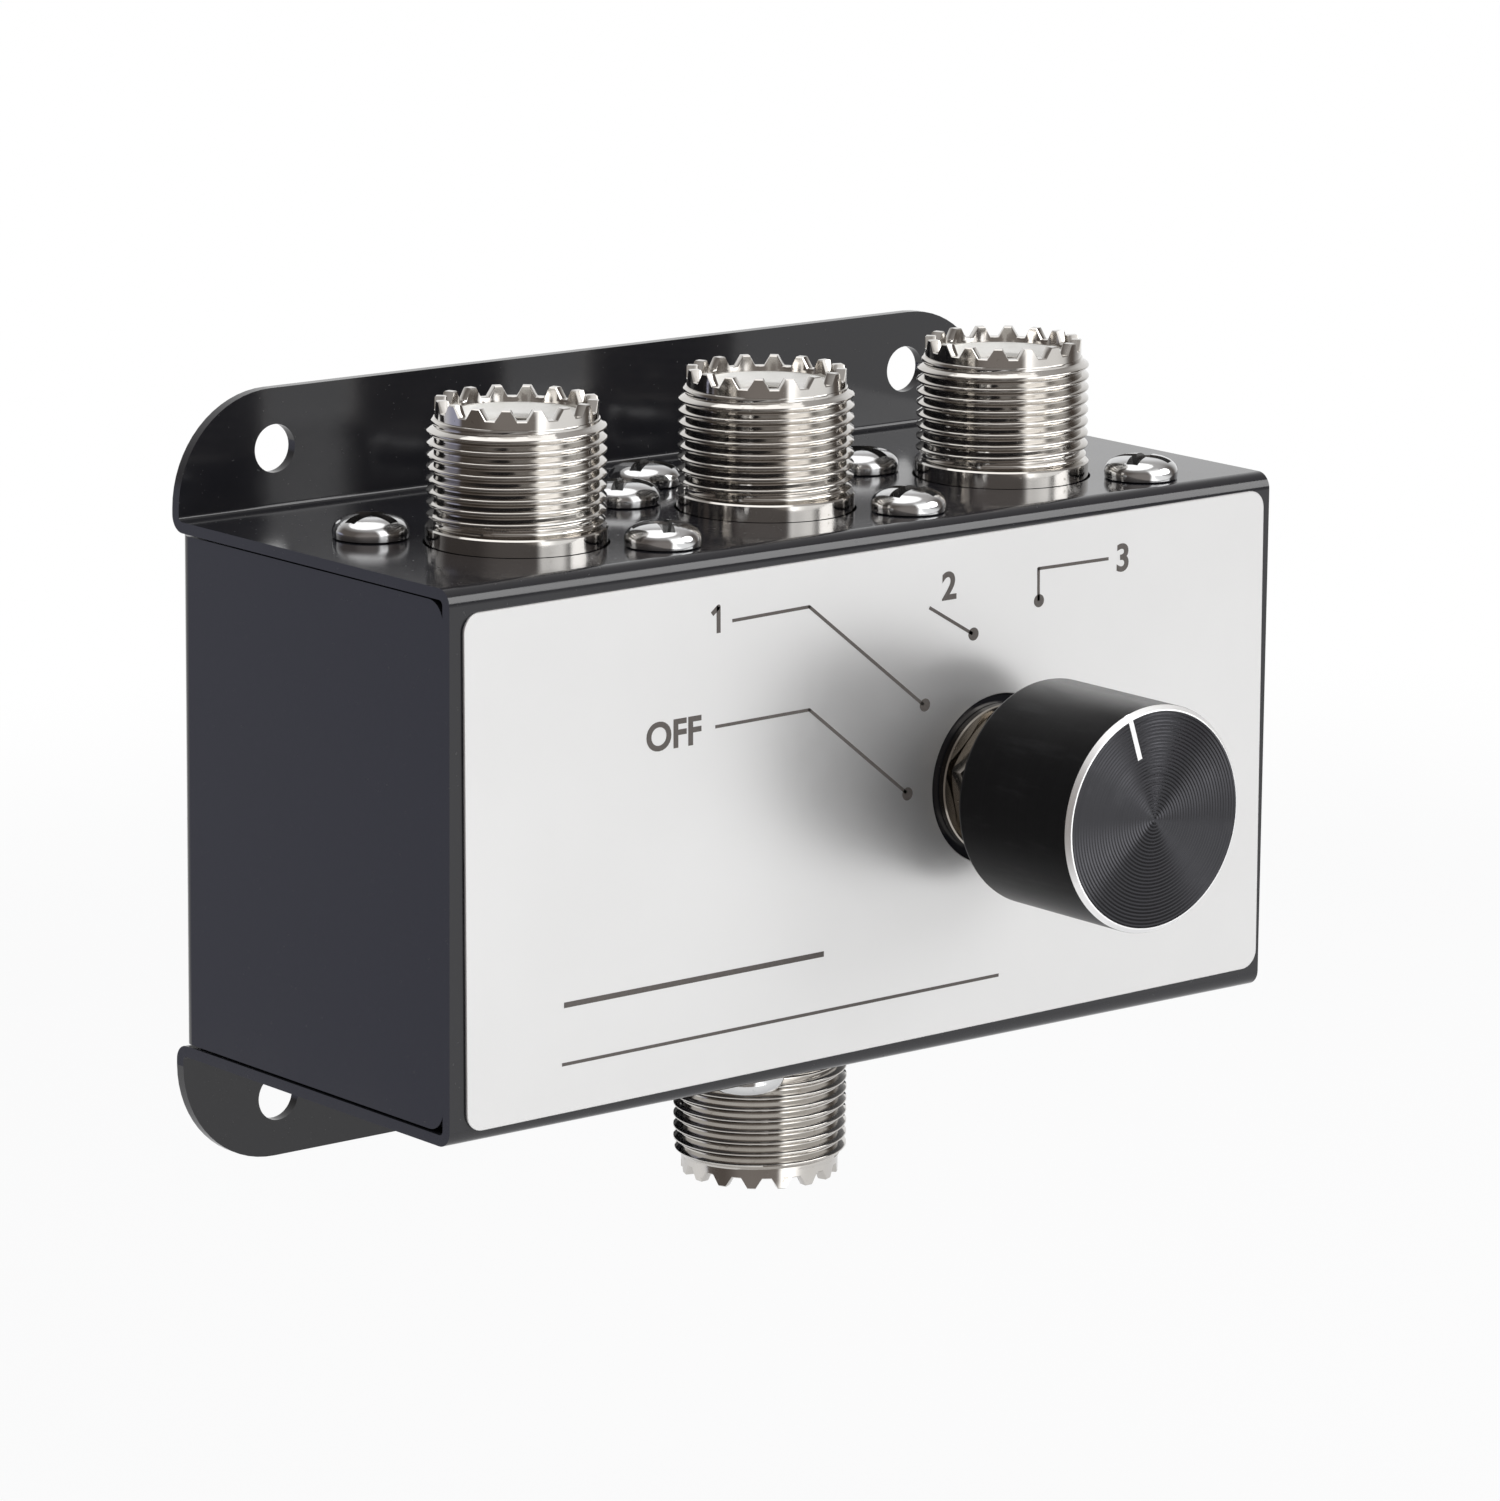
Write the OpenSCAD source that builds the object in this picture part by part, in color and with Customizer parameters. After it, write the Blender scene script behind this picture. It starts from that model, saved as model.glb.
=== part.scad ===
// Coaxial antenna switch: one input socket below, three output sockets above, a rotary selector in front.
// Sheet-metal housing with two wall flanges. All sizes in millimetres.
// Frame: +X right, +Y to the rear, +Z up. The origin is the centre of the four wall holes, on the
// rear face of the flanges. The front panel faces -Y.

/* [Housing] */
// Width of the housing and of its flanges
body_w = 95; // [93:0.5:110]
// Height of the housing over its top and bottom plates
body_h = 49; // [47:0.5:60]
// Depth from the front panel's face to the rear face of the flanges
body_d = 41; // [41:0.5:50]
// Thickness of the folded sheet
sheet_t = 1; // [0.8:0.1:1.2]
// Outer radius of the two folds at the front panel
fold_r = 1.5; // [1.4:0.1:2]
// Inner radius of the fold between a plate and its flange
flange_fold_r = 0.5; // [0.3:0.1:0.8]
// Height of each wall flange beyond its plate
flange_h = 11; // [10:0.5:14]
// Radius of the flange's outer corners
flange_corner_r = 10; // [5:0.5:10]
// Wall-hole spacing along X
wall_pitch_x = 74; // [60:1:76]
// Distance of the wall holes beyond the plate
wall_hole_rise = 5.5; // [4:0.1:6]
// Diameter of the wall holes
wall_hole_d = 4.4; // [3.2:0.1:5]

/* [Rear cover] */
// Gap between the rear cover and the folded housing
cover_gap = 0.2; // [0.1:0.05:0.4]
// How far the back of the cover sits in front of the flanges' rear face
cover_recess = 0.6; // [0.3:0.1:1]
// Outer radius of the cover's two vertical folds
cover_fold_r = 1.5; // [1.4:0.1:2]
// Radius of the corners at the front of the cover's sides
cover_corner_r = 2; // [1:0.1:3]
// Width of the cover's screw tabs
tab_w = 14; // [10:0.5:18]
// Sideways place of the tabs and their screws
tab_x = -2.5; // [-6:0.5:6]
// Distance of the tab screws in front of the flanges' rear face
tab_screw_back = 10.8; // [10:0.1:11]

/* [Front label] */
// Width of the label
label_w = 92.8; // [80:0.1:93]
// Height of the label
label_h = 45.6; // [40:0.1:45.8]
// Thickness of the label
label_t = 0.3; // [0.2:0.05:0.5]
// Radius of the label's corners
label_corner_r = 1.6; // [1:0.1:4]
// Sideways offset of the label on the panel
label_shift = 0.4; // [-0.4:0.1:0.5]
// Tilt of the stuck-on label, degrees anticlockwise
label_tilt = 0.5; // [0:0.1:0.6]
// Diameter of the label's hole round the switch
label_hole_d = 15.4; // [14.6:0.1:18]

/* [Sockets] */
// Distance between neighbouring output sockets
socket_pitch = 28.2; // [27:0.1:30]
// Sideways offset of the middle socket and the input socket
socket_shift = -1; // [-2:0.1:1]
// Distance of the socket axes behind the front panel's face
socket_back = 14.6; // [14.4:0.1:16]
// Major diameter of the barrel thread
thread_d = 15.875; // [15.5:0.005:16]
// Thread pitch
thread_pitch = 1.058; // [1:0.001:1.1]
// Number of thread turns on the barrel
thread_turns = 9; // [6:1:9]
// Width of the flat on a thread crest
crest_w = 0.2; // [0.1:0.02:0.3]
// Depth of the thread
thread_depth = 0.62; // [0.4:0.02:0.7]
// Diameter of the plain collar at the foot of the barrel
collar_d = 16.1; // [16:0.05:16.3]
// Height of the collar above the plate
collar_h = 1.55; // [1:0.05:2.5]
// Diameter of the plain neck below the teeth
neck_d = 14.4; // [14:0.1:14.6]
// Height of the neck between thread and tooth roots
neck_h = 0.75; // [0.5:0.05:1.5]
// Number of locking teeth on the rim
tooth_count = 16; // [8:1:20]
// Height of the locking teeth
tooth_h = 0.95; // [0.6:0.05:1.2]
// Width of a tooth at its tip
tooth_tip_w = 0.75; // [0.4:0.05:0.9]
// Bore of the socket shell
shell_bore_d = 12; // [11:0.1:12.4]
// Depth of the insulator's face below the tooth roots
insulator_drop = 1.2; // [0.6:0.1:2]
// Side of the square socket flange
socket_flange_w = 25.4; // [25:0.1:26]
// Thickness of the socket flange
socket_flange_t = 1.6; // [1.2:0.1:2]
// Spacing of the socket flange's holes along each side
socket_hole_pitch = 18.26; // [17.5:0.02:18.6]
// Bore of the centre contact
contact_bore_d = 4; // [3.9:0.05:4.2]
// Depth of the centre contact's bore
contact_bore_len = 9; // [7:0.5:9]
// Wall of the centre contact
contact_wall = 0.6; // [0.4:0.05:0.8]

/* [Screws] */
// Shank diameter of the pan-head screws
screw_d = 3.4; // [3:0.1:3.5]
// Diameter of the pan heads
screw_head_d = 6.9; // [6:0.1:7]
// Height of the pan heads
screw_head_h = 2.2; // [1.8:0.1:2.6]
// Shank length of the socket screws
screw_len = 6; // [5.5:0.1:7]
// Shank length of the cover screws
cover_screw_len = 4; // [3:0.1:4.5]
// Width across the flats of the socket nuts
nut_af = 6; // [5.5:0.1:6.5]
// Height of the socket nuts
nut_h = 2.4; // [1.8:0.1:2.6]

/* [Rotary switch] */
// Sideways place of the switch axis
switch_x = 14.4; // [12.5:0.1:15]
// Height of the switch axis above the housing's centre
switch_z = 0; // [-1:0.1:1]
// Diameter of the switch shaft
shaft_d = 6; // [5.8:0.1:6]
// Running clearance of the shaft in its bushing, on the radius
shaft_clearance = 0.05; // [0.02:0.01:0.09]
// Diameter of the threaded bushing
bushing_d = 9.5; // [9:0.1:10]
// Reach of the bushing in front of the panel
bushing_reach = 6; // [5:0.1:6]
// Thickness of the switch's die-cast front plate
frame_t = 2; // [1.6:0.1:2.4]
// Diameter of the front plate and of the wafer
frame_d = 27; // [26.6:0.1:27]
// Diameter of the washer under the hex nut
washer_d = 13.9; // [13:0.1:14.2]
// Thickness of the washer
washer_t = 0.8; // [0.5:0.1:1]
// Width across the flats of the hex nut
switch_nut_af = 11.8; // [11.5:0.1:12]
// Height of the hex nut
switch_nut_h = 2.4; // [2:0.1:3]
// Distance of the tie screws from the switch axis
tie_reach = 11; // [11:0.05:11.1]
// Diameter of the tie screws
tie_d = 2.5; // [2:0.1:2.6]
// Outer diameter of the spacers between front plate and wafer
spacer_d = 4.6; // [4.2:0.1:4.8]
// Length of the spacers
spacer_len = 7; // [7:0.1:8]
// Diameter of the detent carrier
carrier_d = 16; // [14:0.1:16.4]
// Thickness of the detent carrier
carrier_t = 1.5; // [1.2:0.1:1.6]
// Diameter of the detent balls
ball_d = 2; // [1.8:0.1:2]
// Distance of the detent balls from the axis
ball_reach = 6; // [5.5:0.1:6.2]
// Thickness of the detent spring
spring_t = 0.3; // [0.2:0.05:0.4]
// Thickness of the stator wafer
wafer_t = 1.6; // [1.2:0.1:2]
// Diameter of the rotor that turns in the wafer
rotor_d = 11.8; // [11:0.1:12]
// Gap between moving and fixed pieces of the switch
turn_gap = 0.3; // [0.3:0.05:0.4]
// Thickness of the contact strips and of the rotor blade
strip_t = 0.3; // [0.2:0.05:0.4]
// Width of the contact strips
strip_w = 2.6; // [2:0.1:3]
// Diameter of the hook-up wires
wire_d = 1.2; // [0.8:0.1:1.4]
// Angle between neighbouring switch positions
step_angle = 30; // [30:1:30]

/* [Knob] */
// Diameter of the knob
knob_d = 20.6; // [19:0.1:22]
// Length of the knob
knob_len = 14.7; // [13:0.1:16]
// Gap between the front panel and the back of the knob
knob_gap = 6.6; // [6.4:0.1:8]
// Size of the bevel round the knob's face
knob_bevel = 0.7; // [0.3:0.1:1.2]
// Wall of the knob's metal shell
knob_wall = 1.2; // [0.8:0.1:1.6]
// Thickness of the knob's face
knob_face_t = 1.6; // [1.2:0.1:2]
// Width of the pointer groove
pointer_w = 0.9; // [0.5:0.1:1.5]
// Depth of the pointer groove
pointer_depth = 0.25; // [0.1:0.05:0.4]
// Distance from the axis at which the pointer groove ends
pointer_start = 6; // [3:0.5:8]
// Angle of the pointer at rest, degrees clockwise from straight up
pointer_angle = -18.5; // [-30:0.5:0]

/* [Hidden] */
$fn = 96;
eps = 0.01;
fit_gap = 0.02;             // radial gap of pieces that are fixed to each other
hole_gap = 0.1;             // radial gap of screws and bushings in clearance holes
collar_gap = 0.2;           // radial gap of a socket collar in its plate

front_y = -body_d;
panel_in_y = front_y + sheet_t;
top_z = body_h / 2;
plate_in_z = top_z - sheet_t;
wall_hole_z = top_z + wall_hole_rise;
flange_end_z = top_z + flange_h;

socket_y = front_y + socket_back;
out_x = [for (i = [-1:1]) socket_shift + i * socket_pitch];
thread_len = thread_turns * thread_pitch;
thread_r = thread_d / 2;
tooth_root_z = collar_h + thread_len + neck_h;
tooth_tip_z = tooth_root_z + tooth_h;
insulator_z = tooth_root_z - insulator_drop;
hole_half = socket_hole_pitch / 2;
seat_z = -sheet_t;          // upper face of a socket flange, from the plate's outer face
flange_under_z = seat_z - socket_flange_t;
rear_boss_len = 3;
rear_boss_d = 14;
contact_d = contact_bore_d + 2 * contact_wall;
contact_foot_z = flange_under_z - rear_boss_len;
cup_d = 3.6;
cup_bore_d = 2;
wire_bend_r = 0.75 * wire_d;

tab_screw_y = -tab_screw_back;
back_out_y = -cover_recess;
back_in_y = back_out_y - sheet_t;
side_out_x = body_w / 2 - cover_gap;
cover_top_z = plate_in_z - cover_gap;
cover_front_y = panel_in_y + cover_gap;
tab_end_y = socket_y + socket_flange_w / 2 + turn_gap;

shaft_r = shaft_d / 2;
frame_rear_y = panel_in_y + frame_t;
carrier_y = frame_rear_y + turn_gap;
ball_y = frame_rear_y + ball_d / 2 + turn_gap / 3;
spring_y = ball_y + ball_d / 2;
wafer_y = frame_rear_y + spacer_len;
wafer_rear_y = wafer_y + wafer_t;
strip_y = wafer_y - strip_t;
blade_y = strip_y - turn_gap - strip_t;
rotor_rear_y = wafer_rear_y + turn_gap;
shaft_rear_y = rotor_rear_y + turn_gap;
wafer_hole_r = rotor_d / 2 + turn_gap;
blade_ring_r = rotor_d / 2 + 1.6;
blade_reach = 9.6;
eyelet_reach = frame_d / 2 + 1.5;
strip_reach = eyelet_reach + 1.2;
eyelet_d = wire_d + 0.4;
cup_level = eyelet_reach + 0.75 * wire_d;     // a cup ends just beyond its wire's level
cup_end_z = cup_level - top_z;
cup_len = contact_foot_z - cup_end_z;
rivet_reach = 11;
rivet_d = 1.6;
throw_angles = [-step_angle, 0, step_angle];
common_angle = 180;
hex_ratio = 2 / sqrt(3);

bushing_end_y = front_y - bushing_reach;
knob_back_y = front_y - knob_gap;
knob_front_y = knob_back_y - knob_len;
core_front_y = knob_front_y + knob_face_t;
core_back_y = knob_back_y - 0.9;
shaft_front_y = core_front_y + 0.6;
clip_t = 0.5;
clip_y = bushing_end_y - 0.1 - clip_t;
clip_d = 8.6;

// ---- helpers ----

// cylinder along +Y from y0 to y1, centred on the switch axis
module along_y(d, y0, y1) {
    translate([switch_x, y0, switch_z]) rotate([-90, 0, 0]) cylinder(h = y1 - y0, d = d);
}

// ring along +Y on the switch axis
module ring_y(d_out, d_in, y0, y1) {
    difference() {
        along_y(d_out, y0, y1);
        along_y(d_in, y0 - eps, y1 + eps);
    }
}

// turns children about the switch axis, degrees clockwise as seen from the front
module about_switch(angle) {
    translate([switch_x, 0, switch_z]) rotate([0, angle, 0]) children();
}

// box centred on X and placed by its lowest corner in Y and Z
module slab(w, y0, y1, z0, z1) {
    translate([-w / 2, y0, z0]) cube([w, y1 - y0, z1 - z0]);
}

// quarter of a folded sheet along X, centre line at the origin, from angle a to a + 90 in the YZ plane
module fold(len, r_in, t, a) {
    rotate([a, 0, 0]) rotate([90, 0, 90]) translate([0, 0, -len / 2])
        rotate_extrude(angle = 90) translate([r_in, 0]) square([t, len]);
}

// places children on the output plate (z = 0 at its outer face) or, turned over, on the input plate
module on_output(i) {
    translate([out_x[i], socket_y, top_z]) children();
}

module on_input() {
    translate([socket_shift, socket_y, -top_z]) rotate([0, 180, 0]) children();
}

module each_socket() {
    for (i = [0:2]) on_output(i) children();
    on_input() children();
}

// the two opposite corners of a socket flange that carry screws
module at_screws() {
    for (s = [-1, 1]) translate([s * hole_half, -s * hole_half, 0]) children();
}

module at_tabs() {
    for (m = [0, 1]) mirror([0, 0, m]) translate([tab_x, tab_screw_y, top_z]) children();
}

// ---- housing ----

// one plate with its flange: upper half of the folded housing
module housing_half() {
    slab(body_w, front_y, panel_in_y, 0, top_z - fold_r);
    translate([0, front_y + fold_r, top_z - fold_r]) fold(body_w, fold_r - sheet_t, sheet_t, 90);
    slab(body_w, front_y + fold_r, -sheet_t - flange_fold_r, plate_in_z, top_z);
    translate([0, -sheet_t - flange_fold_r, top_z + flange_fold_r]) fold(body_w, flange_fold_r, sheet_t, 270);
    intersection() {
        slab(body_w, -sheet_t, 0, top_z + flange_fold_r, flange_end_z);
        wall_flange_outline();
    }
}

// flange outline with its two rounded outer corners
module wall_flange_outline() {
    r = min(flange_corner_r, flange_h - flange_fold_r);
    x = body_w / 2 - r;
    translate([0, -sheet_t - eps, 0]) {
        slab(2 * x, 0, sheet_t + 2 * eps, top_z, flange_end_z + eps);
        slab(body_w, 0, sheet_t + 2 * eps, top_z, flange_end_z - r);
        for (s = [-1, 1]) translate([s * x, 0, flange_end_z - r]) rotate([-90, 0, 0])
            cylinder(h = sheet_t + 2 * eps, r = r);
    }
}

module chassis() {
    color([0.06, 0.06, 0.07]) difference() {
        union() {
            housing_half();
            mirror([0, 0, 1]) housing_half();
        }
        for (x = [-1, 1], z = [-1, 1])
            translate([x * wall_pitch_x / 2, -sheet_t - 1, z * wall_hole_z]) rotate([-90, 0, 0])
                cylinder(h = sheet_t + 2, d = wall_hole_d);
        each_socket() {
            translate([0, 0, -sheet_t - 1]) cylinder(h = sheet_t + 2, d = collar_d + 2 * collar_gap);
            at_screws() translate([0, 0, -sheet_t - 1]) cylinder(h = sheet_t + 2, d = screw_d + 2 * hole_gap);
        }
        at_tabs() translate([0, 0, -sheet_t - 1]) cylinder(h = sheet_t + 2, d = screw_d + 2 * hole_gap);
        along_y(bushing_d + 2 * hole_gap, front_y - 1, panel_in_y + 1);
    }
}

// one side wall of the cover, with rounded front corners
module cover_side() {
    y1 = back_out_y - cover_fold_r;
    translate([side_out_x - sheet_t, 0, 0]) {
        translate([0, cover_front_y + cover_corner_r, -cover_top_z])
            cube([sheet_t, y1 - cover_front_y - cover_corner_r, 2 * cover_top_z]);
        translate([0, cover_front_y, -cover_top_z + cover_corner_r])
            cube([sheet_t, cover_corner_r + eps, 2 * (cover_top_z - cover_corner_r)]);
        for (z = [-1, 1]) translate([0, cover_front_y + cover_corner_r, z * (cover_top_z - cover_corner_r)])
            rotate([0, 90, 0]) cylinder(h = sheet_t, r = cover_corner_r);
    }
}

module rear_cover() {
    color([0.08, 0.08, 0.09]) difference() {
        union() {
            slab(2 * (side_out_x - cover_fold_r), back_in_y, back_out_y, -cover_top_z, cover_top_z);
            for (m = [0, 1]) mirror([m, 0, 0]) {
                cover_side();
                translate([side_out_x - cover_fold_r, back_out_y - cover_fold_r, -cover_top_z])
                    rotate_extrude(angle = 90) translate([cover_fold_r - sheet_t, 0])
                        square([sheet_t, 2 * cover_top_z]);
            }
            for (m = [0, 1]) mirror([0, 0, m])
                translate([tab_x, 0, 0]) slab(tab_w, tab_end_y, back_in_y + eps, plate_in_z - sheet_t, plate_in_z);
        }
        at_tabs() translate([0, 0, -3 * sheet_t]) cylinder(h = 3 * sheet_t, d = screw_d + 2 * fit_gap);
    }
}

module front_label() {
    color([0.86, 0.87, 0.88]) difference() {
        translate([label_shift, front_y - label_t, 0]) rotate([0, -label_tilt, 0]) {
            x = label_w / 2 - label_corner_r;
            z = label_h / 2 - label_corner_r;
            slab(2 * x, 0, label_t, -label_h / 2, label_h / 2);
            slab(label_w, 0, label_t, -z, z);
            for (sx = [-1, 1], sz = [-1, 1]) translate([sx * x, 0, sz * z]) rotate([-90, 0, 0])
                cylinder(h = label_t, r = label_corner_r);
        }
        along_y(label_hole_d, front_y - 1, front_y + 1);
    }
}

// ---- coaxial socket, z = 0 at the plate's outer face, mouth towards +Z ----

// outer profile of the barrel: collar, thread turns, neck
function barrel_profile() = concat(
    [[shell_bore_d / 2, seat_z], [collar_d / 2, seat_z], [collar_d / 2, collar_h - 0.15],
        [collar_d / 2 - 0.15, collar_h], [thread_r - thread_depth, collar_h + 0.1]],
    [for (i = [0:thread_turns - 1], p = turn_points(i)) p],
    [[neck_d / 2, collar_h + thread_len], [neck_d / 2, tooth_tip_z], [shell_bore_d / 2, tooth_tip_z]]);

// one thread turn: up the flank, along the crest, down to the root
function turn_points(i) = let (z = collar_h + (i + 0.5) * thread_pitch) [
    [thread_r - thread_depth, z - thread_pitch * 0.38],
    [thread_r, z - crest_w / 2],
    [thread_r, z + crest_w / 2],
    [thread_r - thread_depth, z + thread_pitch * 0.38]];

// tapered notches that leave the locking teeth on the rim
module tooth_notches() {
    pitch_w = PI * neck_d / tooth_count;
    root_half = (pitch_w - tooth_tip_w) / 2 * 0.42;
    tip_half = (pitch_w - tooth_tip_w) / 2;
    for (i = [0:tooth_count - 1]) rotate([0, 0, (i + 0.5) * 360 / tooth_count])
        translate([shell_bore_d / 2 - 1, 0, 0]) rotate([90, 0, 90]) linear_extrude(neck_d / 2)
            polygon([[-root_half, tooth_root_z], [root_half, tooth_root_z],
                [tip_half, tooth_tip_z + eps], [-tip_half, tooth_tip_z + eps]]);
}

module socket_shell() {
    color([0.72, 0.7, 0.67]) difference() {
        union() {
            rotate_extrude() polygon(barrel_profile());
            translate([0, 0, flange_under_z + socket_flange_t / 2])
                cube([socket_flange_w, socket_flange_w, socket_flange_t], center = true);
            translate([0, 0, contact_foot_z]) cylinder(h = rear_boss_len + eps, d = rear_boss_d);
        }
        translate([0, 0, contact_foot_z - 1]) cylinder(h = tooth_tip_z - contact_foot_z + 2, d = shell_bore_d);
        tooth_notches();
        for (a = [0:3]) rotate([0, 0, 90 * a]) translate([hole_half, hole_half, flange_under_z - 1])
            cylinder(h = socket_flange_t + 2, d = screw_d + 2 * hole_gap);
    }
}

module socket_insulator() {
    color([0.93, 0.92, 0.9]) difference() {
        translate([0, 0, contact_foot_z]) cylinder(h = insulator_z - contact_foot_z, d = shell_bore_d - 2 * fit_gap);
        translate([0, 0, contact_foot_z - 1])
            cylinder(h = insulator_z - contact_foot_z + 2, d = contact_d + 2 * fit_gap);
    }
}

module socket_contact() {
    color([0.8, 0.76, 0.66]) difference() {
        union() {
            translate([0, 0, contact_foot_z]) cylinder(h = insulator_z - contact_foot_z, d = contact_d);
            translate([0, 0, cup_end_z]) cylinder(h = cup_len + eps, d = cup_d);
        }
        translate([0, 0, insulator_z - contact_bore_len]) cylinder(h = contact_bore_len + 1, d = contact_bore_d);
        translate([0, 0, cup_end_z - 1]) cylinder(h = 1 + 0.8 * cup_len, d = cup_bore_d);
    }
}

// ---- screws and nuts ----

// pan-head screw: head above z = 0, shank below
module pan_screw(len) {
    r = screw_head_d / 2;
    dome_r = (r * r + screw_head_h * screw_head_h) / (2 * screw_head_h);
    rim_h = 0.5;
    color([0.78, 0.79, 0.8]) difference() {
        union() {
            rotate_extrude() polygon(concat([[0, 0], [r - 0.25, 0]],
                [for (k = [0:7]) let (a = k * 11.25) [r - 0.1 + 0.1 * cos(a) - (r - 1.2) * (1 - cos(a)),
                    rim_h + (screw_head_h - rim_h) * sin(a)]],
                [[0, screw_head_h]]));
            translate([0, 0, -len]) cylinder(h = len + eps, d = screw_d);
        }
        for (a = [0, 90]) rotate([0, 0, a + 20]) translate([-2, -0.5, screw_head_h - 1.3]) cube([4, 1, 2]);
    }
}

module hex_nut(af, h, bore) {
    difference() {
        cylinder(h = h, d = af * hex_ratio, $fn = 6);
        translate([0, 0, -1]) cylinder(h = h + 2, d = bore);
    }
}

module socket_screws() {
    each_socket() at_screws() pan_screw(screw_len);
}

module socket_nuts() {
    color([0.75, 0.75, 0.74]) each_socket() at_screws() translate([0, 0, flange_under_z - nut_h])
        hex_nut(nut_af, nut_h, screw_d + 2 * fit_gap);
}

module cover_screws() {
    at_tabs() pan_screw(cover_screw_len);
}

// ---- rotary switch ----

module at_ties() {
    for (s = [-1, 1]) translate([switch_x + s * tie_reach, 0, switch_z]) children();
}

module tie_hole(d, y0, y1) {
    at_ties() translate([0, y0 - 1, 0]) rotate([-90, 0, 0]) cylinder(h = y1 - y0 + 2, d = d);
}

// die-cast front plate with the threaded bushing that goes through the panel
module switch_frame() {
    color([0.7, 0.69, 0.66]) difference() {
        union() {
            along_y(frame_d, panel_in_y, frame_rear_y);
            along_y(bushing_d, bushing_end_y, panel_in_y + eps);
        }
        along_y(shaft_d + 2 * shaft_clearance, bushing_end_y - 1, frame_rear_y + 1);
        tie_hole(tie_d + 2 * fit_gap, panel_in_y, frame_rear_y);
    }
}

module switch_washer() {
    color([0.8, 0.78, 0.74]) ring_y(washer_d, bushing_d + 2 * hole_gap, front_y - washer_t, front_y);
}

module switch_nut() {
    y1 = front_y - washer_t;
    color([0.75, 0.72, 0.67]) difference() {
        intersection() {
            translate([switch_x, y1, switch_z]) rotate([90, 0, 0]) rotate([0, 0, 14])
                cylinder(h = switch_nut_h, d = switch_nut_af * hex_ratio, $fn = 6);
            translate([switch_x, y1, switch_z]) rotate([90, 0, 0])
                cylinder(h = switch_nut_h, d1 = switch_nut_af * hex_ratio + 3, d2 = switch_nut_af + 0.4);
        }
        along_y(bushing_d + 2 * fit_gap, y1 - switch_nut_h - 1, y1 + 1);
    }
}

module frame_spacers() {
    color([0.8, 0.7, 0.4]) at_ties() translate([0, frame_rear_y, 0]) rotate([-90, 0, 0]) difference() {
        cylinder(h = spacer_len, d = spacer_d);
        translate([0, 0, -1]) cylinder(h = spacer_len + 2, d = tie_d + 2 * hole_gap);
    }
}

// tie screws, put in from the rear and held in the front plate
module frame_screws() {
    head_d = 4.4;
    head_h = 1.6;
    y0 = panel_in_y + 0.4;
    color([0.76, 0.76, 0.76]) at_ties() {
        translate([0, y0, 0]) rotate([-90, 0, 0]) cylinder(h = wafer_rear_y - y0 + eps, d = tie_d);
        difference() {
            translate([0, wafer_rear_y, 0]) rotate([-90, 0, 0]) cylinder(h = head_h, d = head_d);
            translate([-head_d, wafer_rear_y + head_h / 2, -0.3]) cube([2 * head_d, head_h, 0.6]);
        }
    }
}

module at_strips() {
    for (a = concat(throw_angles, [common_angle])) about_switch(a) children();
}

// contact strip from a start radius outwards, with its rivet and eyelet
module strip(start) {
    difference() {
        union() {
            translate([-strip_w / 2, strip_y, start]) cube([strip_w, strip_t, strip_reach - start]);
            rivet(rivet_d, strip_y, wafer_rear_y + strip_t);
        }
        translate([0, strip_y - 1, eyelet_reach]) rotate([-90, 0, 0]) cylinder(h = 2, d = eyelet_d);
    }
}

module rivet(d, y0, y1) {
    translate([0, y0, rivet_reach]) rotate([-90, 0, 0]) cylinder(h = y1 - y0, d = d);
}

module stator_wafer() {
    color([0.55, 0.33, 0.16]) difference() {
        along_y(frame_d, wafer_y, wafer_rear_y);
        along_y(2 * wafer_hole_r, wafer_y - 1, wafer_rear_y + 1);
        tie_hole(tie_d + 2 * hole_gap, wafer_y, wafer_rear_y);
        at_strips() rivet(rivet_d + 2 * fit_gap, wafer_y - 1, wafer_rear_y + 1);
    }
}

// three throw strips end short of the blade's ring, the common strip reaches behind it
module stator_contacts() {
    color([0.83, 0.8, 0.72]) {
        for (a = throw_angles) about_switch(a) strip(blade_ring_r + turn_gap);
        about_switch(common_angle) strip(wafer_hole_r + turn_gap);
    }
}

module rotor_disc() {
    color([0.9, 0.88, 0.82]) ring_y(rotor_d, shaft_d + 2 * fit_gap, blade_y + strip_t, rotor_rear_y);
}

module rotor_blade() {
    color([0.83, 0.8, 0.72]) difference() {
        union() {
            along_y(2 * blade_ring_r, blade_y, blade_y + strip_t);
            about_switch(0) translate([-strip_w / 2, blade_y, 0]) cube([strip_w, strip_t, blade_reach]);
        }
        along_y(shaft_d + 2 * fit_gap, blade_y - 1, blade_y + strip_t + 1);
    }
}

// carrier with a pocket for each of the two detent balls
module detent_carrier() {
    color([0.35, 0.35, 0.37]) difference() {
        ring_y(carrier_d, shaft_d + 2 * fit_gap, carrier_y, carrier_y + carrier_t);
        for (a = [90, 270]) about_switch(a) translate([0, carrier_y - 1, ball_reach]) rotate([-90, 0, 0])
            cylinder(h = carrier_t + 2, d = ball_d + 4 * fit_gap);
    }
}

module detent_balls() {
    color([0.85, 0.85, 0.86]) for (a = [90, 270])
        about_switch(a) translate([0, ball_y, ball_reach]) sphere(d = ball_d);
}

module detent_spring() {
    color([0.7, 0.62, 0.42]) ring_y(carrier_d - 1, shaft_d + 2 * fit_gap, spring_y, spring_y + spring_t);
}

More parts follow.
